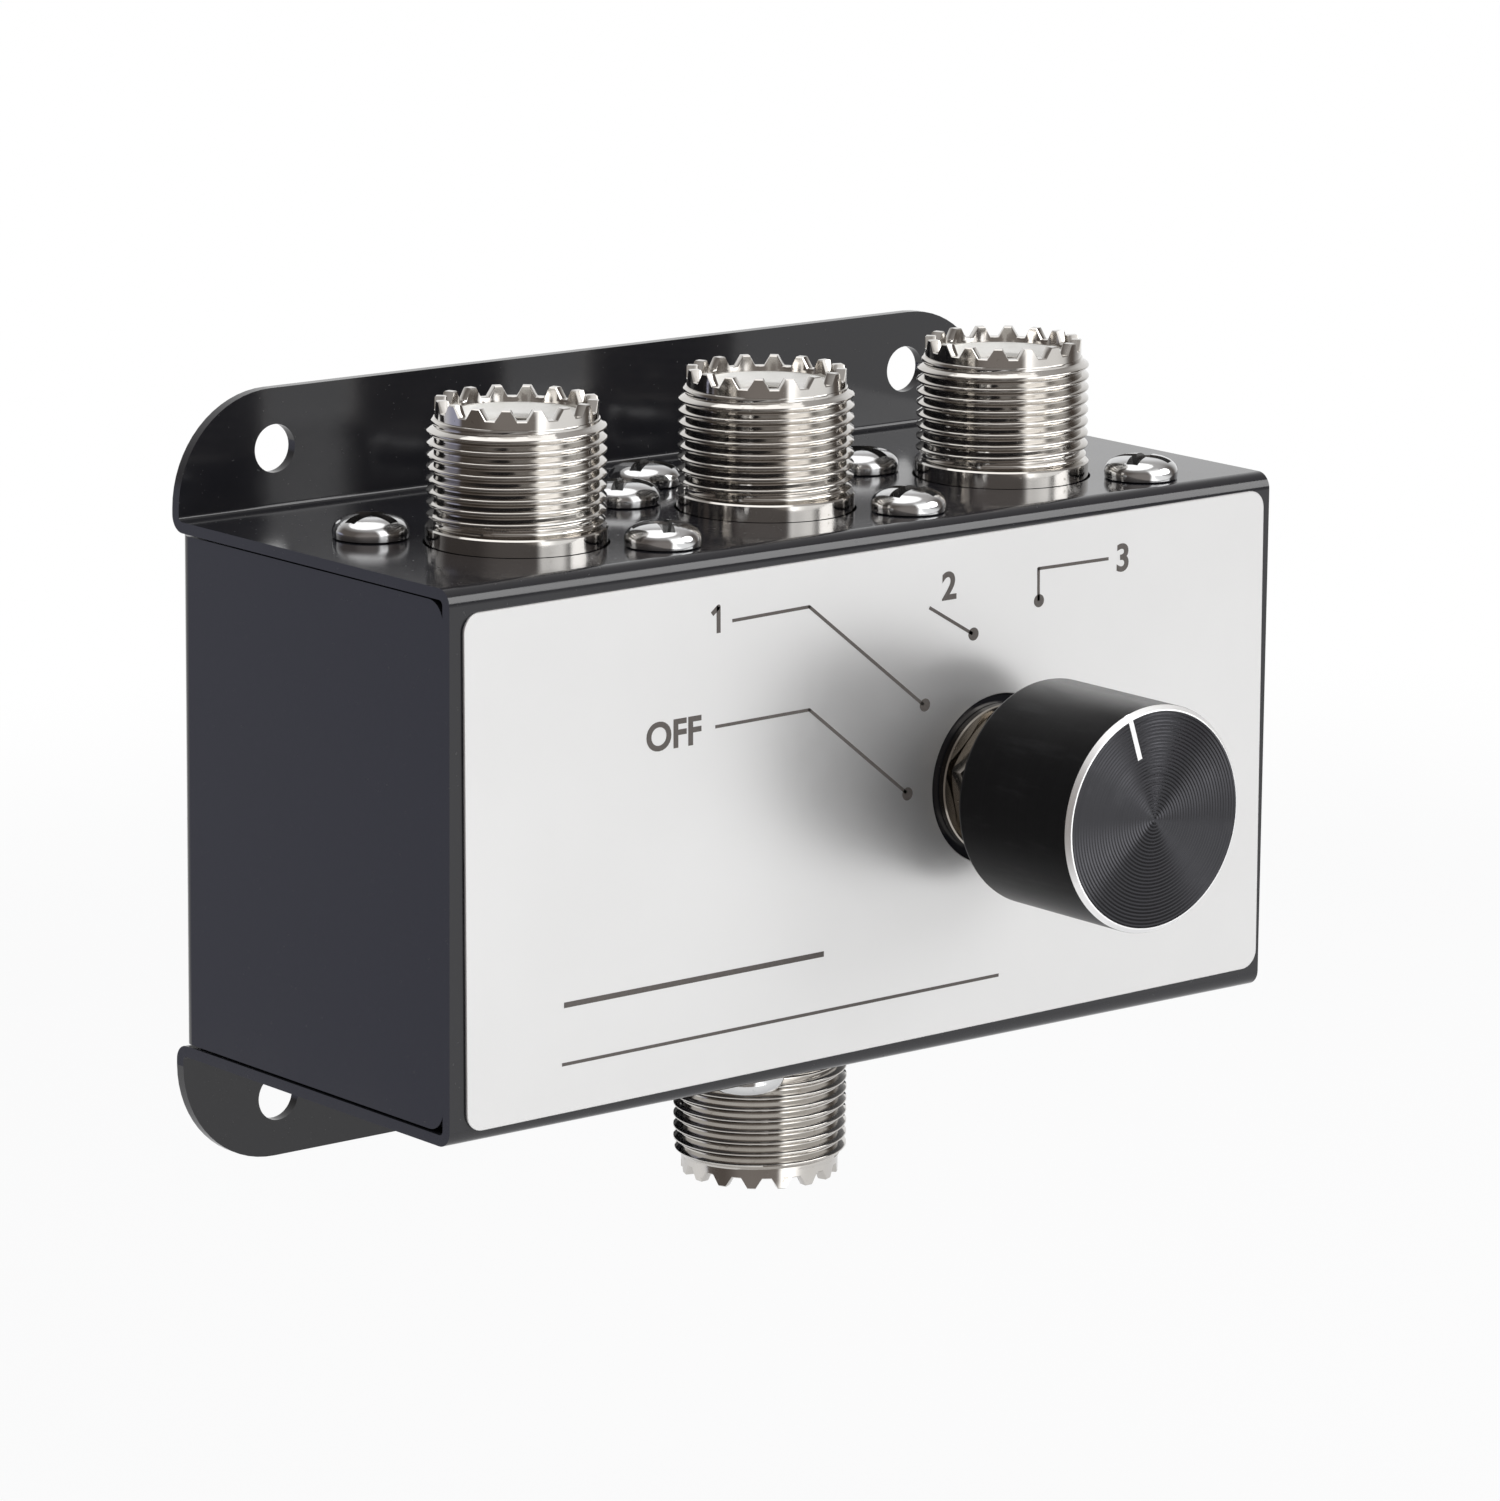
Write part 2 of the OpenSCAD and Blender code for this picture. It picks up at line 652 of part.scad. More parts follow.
// shaft with its flat for the knob
module switch_shaft() {
    flat_x = shaft_r - 0.8;
    color([0.78, 0.78, 0.77]) difference() {
        along_y(shaft_d, shaft_front_y, shaft_rear_y);
        about_switch(pointer_angle) translate([-shaft_r, shaft_front_y - 1, -flat_x - shaft_r])
            cube([shaft_d, core_back_y - shaft_front_y + 1, shaft_r]);
        ring_y(shaft_d + 1, shaft_d - 0.8, clip_y, clip_y + clip_t);
    }
}

// spring clip in the shaft's groove, in front of the bushing
module shaft_clip() {
    inner = shaft_d - 0.8 + 2 * fit_gap;
    color([0.3, 0.3, 0.32]) difference() {
        ring_y(clip_d, inner, clip_y + fit_gap, clip_y + clip_t - fit_gap);
        about_switch(0) translate([-1.4, clip_y - 1, -clip_d]) cube([2.8, clip_t + 2, clip_d - shaft_r * 0.5]);
    }
}

// ---- knob ----

// profile of the knob's shell, revolved about the switch axis: front face at y = 0, back at knob_len
module knob_shell() {
    r = knob_d / 2;
    inner_r = r - knob_wall;
    edge = 0.25;
    color([0.08, 0.08, 0.09]) difference() {
        translate([switch_x, knob_front_y, switch_z]) rotate([-90, 0, 0]) rotate_extrude()
            polygon([[0, 0], [r - knob_bevel, 0], [r, knob_bevel], [r, knob_len - edge],
                [r - edge, knob_len], [inner_r, knob_len], [inner_r, knob_face_t], [0, knob_face_t]]);
        about_switch(pointer_angle) {
            translate([-pointer_w / 2, knob_front_y - 1, pointer_start])
                cube([pointer_w, pointer_depth + 1, r]);
            translate([0, knob_front_y + knob_bevel, r]) rotate([-45, 0, 0])
                translate([-pointer_w / 2, -pointer_depth, -4 * knob_bevel]) cube([pointer_w, r, 8 * knob_bevel]);
        }
    }
}

// moulded core: rim, hub and six ribs, with a bore that follows the shaft's flat
module knob_core() {
    rim_r = knob_d / 2 - knob_wall - fit_gap;
    hub_r = 5.4;
    rib_w = 1;
    bore_r = shaft_r + fit_gap;
    flat_x = shaft_r - 0.8 + fit_gap;
    color([0.12, 0.12, 0.13]) difference() {
        union() {
            ring_y(2 * rim_r, 2 * (rim_r - 1.2), core_front_y, core_back_y);
            along_y(2 * hub_r, core_front_y, core_back_y);
            for (k = [0:5]) about_switch(pointer_angle + 60 * k)
                translate([-rib_w / 2, core_front_y, hub_r - 0.5]) cube([rib_w, core_back_y - core_front_y, rim_r - hub_r]);
        }
        difference() {
            along_y(2 * bore_r, shaft_front_y - 0.3, core_back_y + 1);
            about_switch(pointer_angle) translate([-bore_r - 1, shaft_front_y - 1, -flat_x - 2 * bore_r])
                cube([2 * bore_r + 2, knob_len + 2, 2 * bore_r]);
        }
    }
}

// ---- hook-up wires ----

// eyelet of the strip at an angle, at depth y
function eyelet(angle, y) = [switch_x + eyelet_reach * sin(angle), y, switch_z + eyelet_reach * cos(angle)];

// quarter bend of a wire in the XY plane, from +X round to +Y
module wire_bend() {
    rotate_extrude(angle = 90) translate([wire_bend_r, 0]) circle(d = wire_d);
}

// wire from a solder cup to an eyelet: out of the cup, across, then forward through the eyelet
module cup_to_eyelet(x, side, angle) {
    tip = eyelet(angle, strip_y - 1);
    across = abs(tip.x - x);
    rise = cup_level + 0.6 * cup_len - abs(tip.z);
    forward = socket_y - tip.y;
    b = wire_bend_r;
    translate([x, socket_y, tip.z]) mirror([tip.x < x ? 1 : 0, 0, 0]) mirror([0, 0, side < 0 ? 1 : 0]) {
        translate([0, 0, b]) cylinder(h = rise - b, d = wire_d);
        translate([b, 0, b]) rotate([90, 0, 0]) rotate([0, 0, 180]) wire_bend();
        translate([b, 0, 0]) rotate([0, 90, 0]) cylinder(h = across - 2 * b, d = wire_d);
        translate([across - b, -b, 0]) wire_bend();
        translate([across, -forward, 0]) rotate([-90, 0, 0]) cylinder(h = forward - b, d = wire_d);
    }
}

module output_wire(i) {
    color([0.85, 0.86, 0.87]) cup_to_eyelet(out_x[i], 1, throw_angles[i]);
}

module input_wire() {
    color([0.85, 0.86, 0.87]) cup_to_eyelet(socket_shift, -1, common_angle);
}

// ---- nodes ----

chassis();
rear_cover();
front_label();
on_input() socket_shell();  // shell_in
on_output(0) socket_shell();  // shell_out1
on_output(1) socket_shell();  // shell_out2
on_output(2) socket_shell();  // shell_out3
on_input() socket_insulator();  // insulator_in
on_output(0) socket_insulator();  // insulator_out1
on_output(1) socket_insulator();  // insulator_out2
on_output(2) socket_insulator();  // insulator_out3
on_input() socket_contact();  // contact_in
on_output(0) socket_contact();  // contact_out1
on_output(1) socket_contact();  // contact_out2
on_output(2) socket_contact();  // contact_out3
socket_screws();
socket_nuts();
cover_screws();
switch_frame();
switch_washer();
switch_nut();
frame_spacers();
frame_screws();
stator_wafer();
stator_contacts();
rotor_disc();
rotor_blade();
detent_carrier();
detent_balls();
detent_spring();
switch_shaft();
shaft_clip();
knob_shell();
knob_core();
input_wire();  // wire_in
output_wire(0);  // wire_out1
output_wire(1);  // wire_out2
output_wire(2);  // wire_out3
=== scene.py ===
# %% [markdown]
# # Coaxial antenna switch
# A small sheet-metal box with threaded coaxial sockets and a rotary selector. The CAD solids give the
# frame: their places, sizes and the way the knob turns. This script gives them their finish, and puts
# finely made pieces where the solids are only plain.
# Everything is worked out in millimetres and multiplied by MM, because the frame is in metres.

import math

import bmesh
import bpy
from mathutils import Matrix, Vector
from mathutils.geometry import tessellate_polygon


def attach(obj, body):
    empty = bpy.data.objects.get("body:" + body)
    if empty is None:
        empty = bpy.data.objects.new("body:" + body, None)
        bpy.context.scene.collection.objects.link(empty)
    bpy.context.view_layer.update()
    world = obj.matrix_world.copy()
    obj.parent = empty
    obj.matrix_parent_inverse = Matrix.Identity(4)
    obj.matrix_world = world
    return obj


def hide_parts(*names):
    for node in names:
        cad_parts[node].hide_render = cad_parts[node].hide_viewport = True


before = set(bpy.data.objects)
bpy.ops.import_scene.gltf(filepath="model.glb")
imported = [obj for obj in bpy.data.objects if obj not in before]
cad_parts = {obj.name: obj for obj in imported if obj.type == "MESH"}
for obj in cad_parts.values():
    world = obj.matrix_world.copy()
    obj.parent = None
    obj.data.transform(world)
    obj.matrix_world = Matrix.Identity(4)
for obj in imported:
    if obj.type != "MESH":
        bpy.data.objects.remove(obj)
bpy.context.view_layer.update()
MM = 0.001
FRONT = -41.0          # the front panel's face
TOP = 24.5             # the top plate's face; the bottom plate's is at -TOP
SWITCH_X = 14.4        # the selector's axis
SOCKET_Y = -26.4       # the line of socket axes
SOCKETS = {"in": -1.0, "out1": -29.2, "out2": -1.0, "out3": 27.2}

# %% [markdown]
# ## The camera
# The photograph was taken from the front left and a little above, from about two thirds of a metre,
# with a long lens. Fitting a pinhole camera to the box's corners gives its place and its three axes,
# so the render can be laid over the photograph.

# %% Place the camera
camera_data = bpy.data.cameras.new("photo_camera")
camera_data.sensor_width = 36.0
camera_data.lens = 173.3
camera_data.shift_x = 0.0029
camera_data.shift_y = -0.002
camera_data.clip_start = 0.01
camera_data.clip_end = 20.0
camera = bpy.data.objects.new("photo_camera", camera_data)
bpy.context.scene.collection.objects.link(camera)
right = Vector((0.7752, -0.6317, 0.0085))
upward = Vector((0.1283, 0.1705, 0.9770))
backward = Vector((-0.6186, -0.7562, 0.2133))
camera.matrix_world = Matrix.Translation(Vector((-407.8, -521.2, 142.1)) * MM) @ Matrix(
    (right, upward, backward)).transposed().to_4x4()
bpy.context.scene.camera = camera
print("camera at", [round(v, 3) for v in camera.location], "lens", camera_data.lens)

# %% [markdown]
# ## A small language for finishes
# A finish is a tree of shader nodes. Wiring each node by hand hides the idea, so a Wave wraps one
# output socket and lets Python's own operators add the Math nodes: 1 - wear * 0.5 reads as it is meant.
# Every other kind of node comes from one method, Finish.add, which takes its type, settings and inputs.

# %% Wave and Finish
class Wave:
    """One number that varies over a surface; arithmetic on it adds Math nodes."""

    def __init__(self, tree, socket):
        self.tree, self.socket = tree, socket

    def math(self, operation, first, second):
        return self.tree.add("ShaderNodeMath", {"operation": operation}, {0: first, 1: second})

    def __add__(self, other):
        return self.math("ADD", self, other)

    __radd__ = __add__

    def __sub__(self, other):
        return self.math("SUBTRACT", self, other)

    def __rsub__(self, other):
        return self.math("SUBTRACT", other, self)

    def __mul__(self, other):
        return self.math("MULTIPLY", self, other)

    __rmul__ = __mul__

    def __pow__(self, other):
        return self.math("POWER", self, other)


class Finish:
    """The node tree of one material, or of the world."""

    def __init__(self, owner):
        owner.use_nodes = True
        self.owner, self.nodes, self.links = owner, owner.node_tree.nodes, owner.node_tree.links
        self.nodes.clear()

    def add(self, kind, settings=None, inputs=None, output=0):
        """One node: its settings are set first, then each input gets a link or a plain value."""
        node = self.nodes.new(kind)
        for key, value in (settings or {}).items():
            setattr(node, key, value)
        for key, value in (inputs or {}).items():
            if isinstance(value, Wave):
                self.links.new(value.socket, node.inputs[key])
            else:
                node.inputs[key].default_value = value
        return Wave(self, node.outputs[output]) if node.outputs else None

    def place(self):
        """The point on the object, in metres, in the frame's axes."""
        return self.add("ShaderNodeTexCoord", output="Object")

    def axis(self, which):
        """One coordinate of that point: "X", "Y" or "Z"."""
        return self.add("ShaderNodeSeparateXYZ", inputs={0: self.place()}, output=which)

    def stretched(self, x, y, z):
        """That point with its axes scaled one by one, so that a noise on it runs in streaks."""
        return self.add("ShaderNodeVectorMath", {"operation": "MULTIPLY"}, {0: self.place(), 1: (x, y, z)})

    def noise(self, scale, detail=2.0, roughness=0.5, where=None):
        """Clouds around 0.5; scale is about how many of them there are in a metre."""
        return self.add("ShaderNodeTexNoise", inputs={
            "Vector": where or self.place(), "Scale": scale, "Detail": detail, "Roughness": roughness})

    def between(self, value, low, high, to_low=0.0, to_high=1.0):
        """Goes smoothly from to_low to to_high while the value goes from low to high."""
        return self.add("ShaderNodeMapRange", {"interpolation_type": "SMOOTHSTEP"}, {
            0: value, 1: low, 2: high, 3: to_low, 4: to_high})

    def mix(self, factor, first, second):
        """The first colour where factor is 0, the second where it is 1."""
        return self.add("ShaderNodeMix", {"data_type": "RGBA"}, {
            0: factor, 6: first, 7: second}, output=2)

    def bump(self, height, distance, strength=1.0):
        """A normal that tilts as the height does; distance is the depth of a height of 1, in metres."""
        return self.add("ShaderNodeBump", inputs={
            "Height": height, "Distance": distance, "Strength": strength})

    def surface(self, **inputs):
        """Ends the tree in one shader, and returns the material; Base_Color stands for Base Color."""
        names = {key: key.replace("_", " ") for key in inputs}
        shader = self.add("ShaderNodeBsdfPrincipled", inputs={names[k]: v for k, v in inputs.items()})
        self.add("ShaderNodeOutputMaterial", inputs={0: shader})
        return self.owner


def finish(name):
    return Finish(bpy.data.materials.new(name))


def rgb(red, green, blue):
    return (red, green, blue, 1.0)


def grey(level):
    return rgb(level, level, level)


print("finish helpers ready")

# %% [markdown]
# ## The enamel
# The housing is glossy black enamel: nearly black, smooth, with a faint orange-peel in its skin, a few
# specks of dust, and a haze that only shows in the reflections. Paint needs no picture: noise at three
# sizes gives all of them, and it looks the same from every side.

# %% Black enamel
f = finish("black_enamel")
haze = f.between(f.noise(45.0, 4.0, 0.6), 0.35, 0.75)
dust = f.between(f.noise(2600.0, 1.0, 0.5), 0.735, 0.79)
peel = f.noise(500.0, 2.0, 0.5)
black_enamel = f.surface(
    Base_Color=f.mix(dust * 0.3, rgb(0.0165, 0.0165, 0.0200), grey(0.08)),
    Roughness=0.10 + haze * 0.06 + dust * 0.25,
    Normal=f.bump(peel, 0.00001, 0.25), Specular_IOR_Level=0.5)
print("enamel:", black_enamel.name)

# %% [markdown]
# ## Nickel, zinc and silver
# The sockets are bright nickel, slightly warm, whose plating is a little uneven. The nut, the screws
# and the contacts are plated too, only duller, greyer or whiter; a much darker zinc is painted shade
# for the screws' cross recesses. One function makes them all: stain is the share of the darker colour
# in the clouds, and warm is how far the colour leans to brown.

# %% Plated metals
def plated(name, level, rough, stain, warm=1.0):
    f = finish(name)
    cloud = f.between(f.noise(120.0, 3.0, 0.6), 0.3, 0.75)
    speck = f.between(f.noise(1500.0, 2.0, 0.5), 0.66, 0.74)
    clean = rgb(level, level * (1 - 0.025 * warm), level * (1 - 0.06 * warm))
    dull = rgb(level * 0.62, level * (0.62 - 0.05 * warm), level * (0.62 - 0.11 * warm))
    return f.surface(
        Base_Color=f.mix(cloud * stain + speck * 0.3, clean, dull),
        Metallic=1.0, Roughness=rough + cloud * 0.05 + speck * 0.12,
        Normal=f.bump(f.noise(1400.0, 2.0), 0.000004, 0.15))


bright_nickel = plated("bright_nickel", 0.60, 0.075, 0.25, 1.2)
nut_nickel = plated("nut_nickel", 0.40, 0.14, 0.5, 2.0)
screw_zinc = plated("screw_zinc", 0.64, 0.11, 0.25, -0.2)
# a much darker copy of the zinc: painted shade for the screws' cross recesses
recess_painted_shade = plated("recess_painted_shade", 0.20, 0.22, 0.4, 0.0)
silver_contact = plated("silver_contact", 0.8, 0.25, 0.4)
print("finishes so far:", [m.name for m in bpy.data.materials])

# %% [markdown]
# ## Label foil and ink
# The label is satin metal foil under clear lacquer. It isn't a full metal here: part of its light is
# scattered, and the rest mirrors the knob as a soft grey shade. The ink is brown-grey and dull.

# %% Satin foil and printing ink
f = finish("satin_label")
satin = f.noise(700.0, 3.0, 0.6)
mottle = f.between(f.noise(60.0, 3.0, 0.5), 0.3, 0.7)
satin_label = f.surface(
    Base_Color=f.mix(mottle, rgb(0.772, 0.769, 0.764), rgb(0.790, 0.787, 0.782)),
    Metallic=0.72, Roughness=0.30 + satin * 0.05, Normal=f.bump(satin, 0.000006, 0.2))

f = finish("printing_ink")
printing_ink = f.surface(
    Base_Color=f.mix(f.noise(3000.0, 2.0), rgb(0.085, 0.074, 0.067), rgb(0.14, 0.124, 0.113)),
    Roughness=0.5 + f.noise(900.0) * 0.1)
print("label finishes:", satin_label.name, printing_ink.name)

# %% [markdown]
# ## The knob's finishes
# The knob is black anodised aluminium, brushed round its side and spun on its face, with a bare bevel.
# The grain follows the tool: it is a noise of the distance from the axis on the face, and of the depth
# on the side. Faint streaks of wear run along the side, where fingers hold it.

# %% Turned and brushed metal
def knob_finish(name, colour, metal, rough, rings, worn_share):
    """rings is 'face' for rings round the axis, 'side' for brushing round the wall."""
    f = finish(name)
    x, y, z = f.axis("X") - SWITCH_X * MM, f.axis("Y"), f.axis("Z")
    radius = (x * x + z * z) ** 0.5
    line = radius if rings == "face" else y
    at = f.add("ShaderNodeCombineXYZ", inputs={0: line * 9000.0, 1: line * 1700.0, 2: 0.5})
    grain = f.noise(1.0, 3.0, 0.7, where=at)
    streaks = f.noise(1.0, 4.0, 0.65, where=f.stretched(420.0, 70.0, 420.0))
    worn = f.between(streaks, 0.52, 0.72)
    rubbed = rgb(*(min(1.0, c * 2.2 + 0.008) for c in colour[:3]))
    return f.surface(
        Base_Color=f.mix(grain * 0.4 + worn * worn_share, colour, rubbed),
        Metallic=metal, Roughness=rough + grain * 0.08, Normal=f.bump(grain, 0.00001, 0.4),
        Specular_IOR_Level=0.08)


knob_side = knob_finish("knob_side_black", rgb(0.0040, 0.0040, 0.0045), 0.0, 0.26, "side", 0.6)
knob_face = knob_finish("knob_face_spun", rgb(0.042, 0.042, 0.046), 0.95, 0.11, "face", 0.12)
knob_bright = knob_finish("knob_cut_metal", grey(0.88), 1.0, 0.4, "side", 0.6)
print("knob finishes:", knob_side.name, knob_face.name, knob_bright.name)

# %% [markdown]
# ## Plainer finishes
# The pieces inside need less: two close colours mixed by a noise, and the same noise in the bump. Then
# each CAD node gets its finish by name, or by the first word of its name where there are several.

# %% Finishes of the inner pieces
def moulded(name, low, high, rough, grain_scale=300.0, metal=0.0):
    f = finish(name)
    grain = f.noise(grain_scale, 4.0, 0.6)
    return f.surface(Base_Color=f.mix(f.between(grain, 0.3, 0.7), low, high), Metallic=metal,
                     Roughness=rough + grain * 0.15, Normal=f.bump(grain, 0.00002, 0.35))


white_resin = moulded("white_resin", rgb(0.74, 0.73, 0.69), rgb(0.82, 0.81, 0.78), 0.35)
brown_laminate = moulded("brown_laminate", rgb(0.20, 0.10, 0.038), rgb(0.33, 0.18, 0.075), 0.45, 500.0)
cream_rotor = moulded("cream_rotor", rgb(0.72, 0.68, 0.55), rgb(0.80, 0.76, 0.64), 0.4)
black_moulding = moulded("black_moulding", rgb(0.020, 0.020, 0.022), rgb(0.035, 0.035, 0.038), 0.42)
cast_alloy = moulded("cast_alloy", rgb(0.50, 0.49, 0.47), rgb(0.62, 0.61, 0.59), 0.38, 400.0, 1.0)
turned_brass = moulded("turned_brass", rgb(0.62, 0.46, 0.19), rgb(0.75, 0.58, 0.27), 0.22, 700.0, 1.0)
dark_steel = moulded("dark_steel", rgb(0.10, 0.10, 0.11), rgb(0.19, 0.19, 0.20), 0.3, 600.0, 1.0)
bright_steel = moulded("bright_steel", rgb(0.52, 0.52, 0.53), rgb(0.64, 0.64, 0.65), 0.22, 800.0, 1.0)
tinned_wire = moulded("tinned_wire", rgb(0.60, 0.60, 0.61), rgb(0.72, 0.72, 0.73), 0.3, 900.0, 1.0)
FINISHES = {
    "chassis": black_enamel, "rear_cover": black_enamel, "front_label": satin_label,
    "shell": bright_nickel, "insulator": white_resin, "contact": silver_contact,
    "socket_screws": screw_zinc, "cover_screws": screw_zinc, "socket_nuts": screw_zinc,
    "switch_frame": cast_alloy, "switch_washer": nut_nickel, "switch_nut": nut_nickel,
    "frame_spacers": turned_brass, "frame_screws": bright_steel, "stator_wafer": brown_laminate,
    "stator_contacts": silver_contact, "rotor_disc": cream_rotor, "rotor_blade": silver_contact,
    "detent_carrier": dark_steel, "detent_balls": bright_steel, "detent_spring": turned_brass,
    "switch_shaft": bright_steel, "shaft_clip": dark_steel, "knob_shell": knob_side,
    "knob_core": black_moulding, "wire": tinned_wire,
}
for name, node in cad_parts.items():
    material = FINISHES.get(name) or FINISHES[name.split("_")[0]]
    node.data.materials.clear()
    node.data.materials.append(material)
print("finished", len(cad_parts), "CAD nodes with", len(bpy.data.materials), "finishes")

# %% [markdown]
# ## Making meshes
# Two helpers make nearly every piece. skin() joins rows of points, as a boatbuilder planks ribs: a
# turned or threaded piece is a stack of rings. plate() cuts a flat piece with holes and breaks its edges
# with a small chamfer, which is what catches a line of light on real sheet.

# %% Mesh helpers
FACING = Matrix.Rotation(math.pi / 2, 4, "X")     # a piece made lying flat looks out of the front panel


def piece(name, points, faces, material, at, body, slot, stands_for=(), sharp=32, materials=None):
    """Makes an object from points in millimetres, placed by the matrix at, and rides it on its body."""
    mesh = bpy.data.meshes.new(name)
    mesh.from_pydata([at @ Vector(p) * MM for p in points], [], faces)
    work = bmesh.new()
    work.from_mesh(mesh)
    bmesh.ops.remove_doubles(work, verts=work.verts, dist=1e-7)
    bmesh.ops.recalc_face_normals(work, faces=work.faces)
    work.to_mesh(mesh)
    work.free()
    mesh.shade_smooth()
    mesh.set_sharp_from_angle(angle=math.radians(sharp))
    for m in [material] + list(materials or []):
        mesh.materials.append(m)
    made = bpy.data.objects.new(name, mesh)
    bpy.context.scene.collection.objects.link(made)
    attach(made, body)
    if stands_for:
        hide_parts(*stands_for)
    return made


def skin(rows, closed=False):
    """Quads between rows of points; each row is a ring, and closed joins the last row to the first."""
    count = len(rows[0])
    points = [p for row in rows for p in row]
    last = len(rows) if closed else len(rows) - 1
    faces = []
    for j in range(last):
        a, b = j * count, ((j + 1) % len(rows)) * count
        faces += [(a + i, a + (i + 1) % count, b + (i + 1) % count, b + i) for i in range(count)]
    return points, faces


def ring(radius, height, count=96):
    """Points round a circle that lies flat at a height."""
    return [(radius * math.cos(t), radius * math.sin(t), height)
            for t in (2 * math.pi * i / count for i in range(count))]


def shrink(loop, amount):
    """Moves a closed 2D outline inwards (counter-clockwise loops) by amount."""
    out = []
    for i, p in enumerate(loop):
        a, b = Vector(loop[i - 1]), Vector(loop[(i + 1) % len(loop)])
        along = (b - a).normalized()
        out.append((p[0] - along.y * amount, p[1] + along.x * amount))
    return out


def plate(outline, holes, low, high, edge):
    """A flat piece between two heights, with holes, and a small chamfer on every edge."""
    loops = [outline] + [list(reversed(h)) for h in holes]
    inner = [shrink(loop, edge) for loop in loops]
    levels = [(inner, low), (loops, low + edge), (loops, high - edge), (inner, high)]
    points, faces, starts = [], [], []
    for shapes, z in levels:
        starts.append(len(points))
        points += [(x, y, z) for loop in shapes for x, y in loop]
    flat = tessellate_polygon([[Vector((x, y, 0)) for x, y in loop] for loop in inner])
    faces += [tuple(starts[0] + i for i in reversed(t)) for t in flat]
    faces += [tuple(starts[3] + i for i in t) for t in flat]
    offset = 0
    for loop in loops:
        n = len(loop)
        for a, b in zip(starts, starts[1:]):
            faces += [(a + offset + i, a + offset + (i + 1) % n, b + offset + (i + 1) % n, b + offset + i)
                      for i in range(n)]
        offset += n
    return points, faces


def circle(radius, x=0.0, y=0.0, count=48):
    """A round 2D outline, for a hole or a dot."""
    return [(x + px, y + py) for px, py, _ in ring(radius, 0, count)]


def rounded(width, height, radius, steps=8, turn=0.0, x=0.0, y=0.0):
    """A rectangle with round corners, counter-clockwise, turned by some degrees."""
    points = []
    for k, (sx, sy) in enumerate(((1, 1), (-1, 1), (-1, -1), (1, -1))):
        for i in range(steps + 1):
            t = math.pi / 2 * (k + i / steps)
            points.append((sx * (width / 2 - radius) + radius * math.cos(t),
                           sy * (height / 2 - radius) + radius * math.sin(t)))
    c, s = math.cos(math.radians(turn)), math.sin(math.radians(turn))
    return [(x + px * c - py * s, y + px * s + py * c) for px, py in points]


def joined(*parts):
    """Several shapes as one: each shape's faces count on from the points before it."""
    points, faces = [], []
    for p, f in parts:
        faces += [tuple(i + len(points) for i in face) for face in f]
        points += p
    return points, faces


def at_switch(height=0.0):
    """Places a piece on the selector's axis, looking forward, at a height over the panel."""
    return Matrix.Translation((SWITCH_X, FRONT - height, 0.0)) @ FACING


print("mesh helpers ready")

# %% [markdown]
# ## The sockets
# Each is a nickel-plated shell: a square flange that sits under the plate, a collar, a real helical
# thread, and sixteen teeth that lock the plug's collar. The thread's rows climb as they go round, and
# the end of each row is joined to the start of the row one turn higher, so its crest is one long line.
# A stack of plain grooves would look the same from far off, but its grooves would close on themselves.

# %% Sockets
PITCH, TURNS = 1.058, 9
CREST, DEPTH = 7.9375, 0.62                # the thread's outer radius and its depth
COLLAR, COLLAR_R = 1.55, 8.05              # the collar's top and radius
NECK, NECK_HEIGHT, BORE = 7.2, 0.75, 6.0
TUBE, TUBE_END = 7.0, -5.6                 # the tube that reaches through the plate
FLANGE, FLANGE_LOW, FLANGE_HIGH = 25.4, -2.6, -1.0
SCREW_REACH, SCREW_HOLE = 9.13, 1.8        # from the axis to each corner screw, along both sides
THREAD_TOP = COLLAR + TURNS * PITCH
TOOTH_ROOT = THREAD_TOP + NECK_HEIGHT
TOOTH_TIP = TOOTH_ROOT + 0.95
TOOTH_COUNT = 16
TOOTH_STEP = 360 / TOOTH_COUNT
tooth_steps = [-2.98, 0.0, 2.98, 7.78, 11.25, 14.72]     # degrees within one tooth's step
angles = [math.radians(TOOTH_STEP * k + s) for k in range(TOOTH_COUNT) for s in tooth_steps]
is_tooth = [i % 6 < 3 for i in range(len(angles))]       # the first three points are on the tooth


def turned(radius, height):
    """A ring at the teeth's angles, so that every row of the shell has as many points."""
    return [(radius * math.cos(a), radius * math.sin(a), height) for a in angles]


THREAD_PROFILE = [(0.0, 0.0), (0.04, 0.0), (0.22, 0.46), (0.40, 0.95), (0.44, 1.0), (0.56, 1.0),
                  (0.60, 0.95), (0.78, 0.46), (0.96, 0.0)]     # place along one pitch, share of the depth
RUN_OUT = 0.6 * PITCH                                          # where the thread fades in and out


def thread():
    """Rows that climb with the helix, so every crest and root is one clean line; the ends are cut flat."""
    rows = []
    for turn in range(-1, TURNS + 1):
        for along, share in THREAD_PROFILE:
            row = []
            for a in angles:
                z = min(THREAD_TOP, max(COLLAR, COLLAR + PITCH * (turn + along + a / (2 * math.pi))))
                fade = min(1.0, (z - COLLAR) / RUN_OUT, (THREAD_TOP - z) / RUN_OUT)
                radius = CREST - DEPTH * (1 - share * fade)
                row.append((radius * math.cos(a), radius * math.sin(a), z))
            rows.append(row)
    count, step, last = len(angles), len(THREAD_PROFILE), len(rows) - 1

    def index(r, i):
        return (min(r, last) * count + i) if i < count else (min(r + step, last) * count)

    faces = [(index(r, i), index(r, i + 1), index(r + 1, i + 1), index(r + 1, i))
             for r in range(last) for i in range(count)]
    return [p for row in rows for p in row], faces


def rim_row(radius, drop):
    """A row that steps between the teeth's tips and their roots, lowered by drop."""
    return [(radius * math.cos(a), radius * math.sin(a), (TOOTH_TIP if t else TOOTH_ROOT) - drop)
            for a, t in zip(angles, is_tooth)]


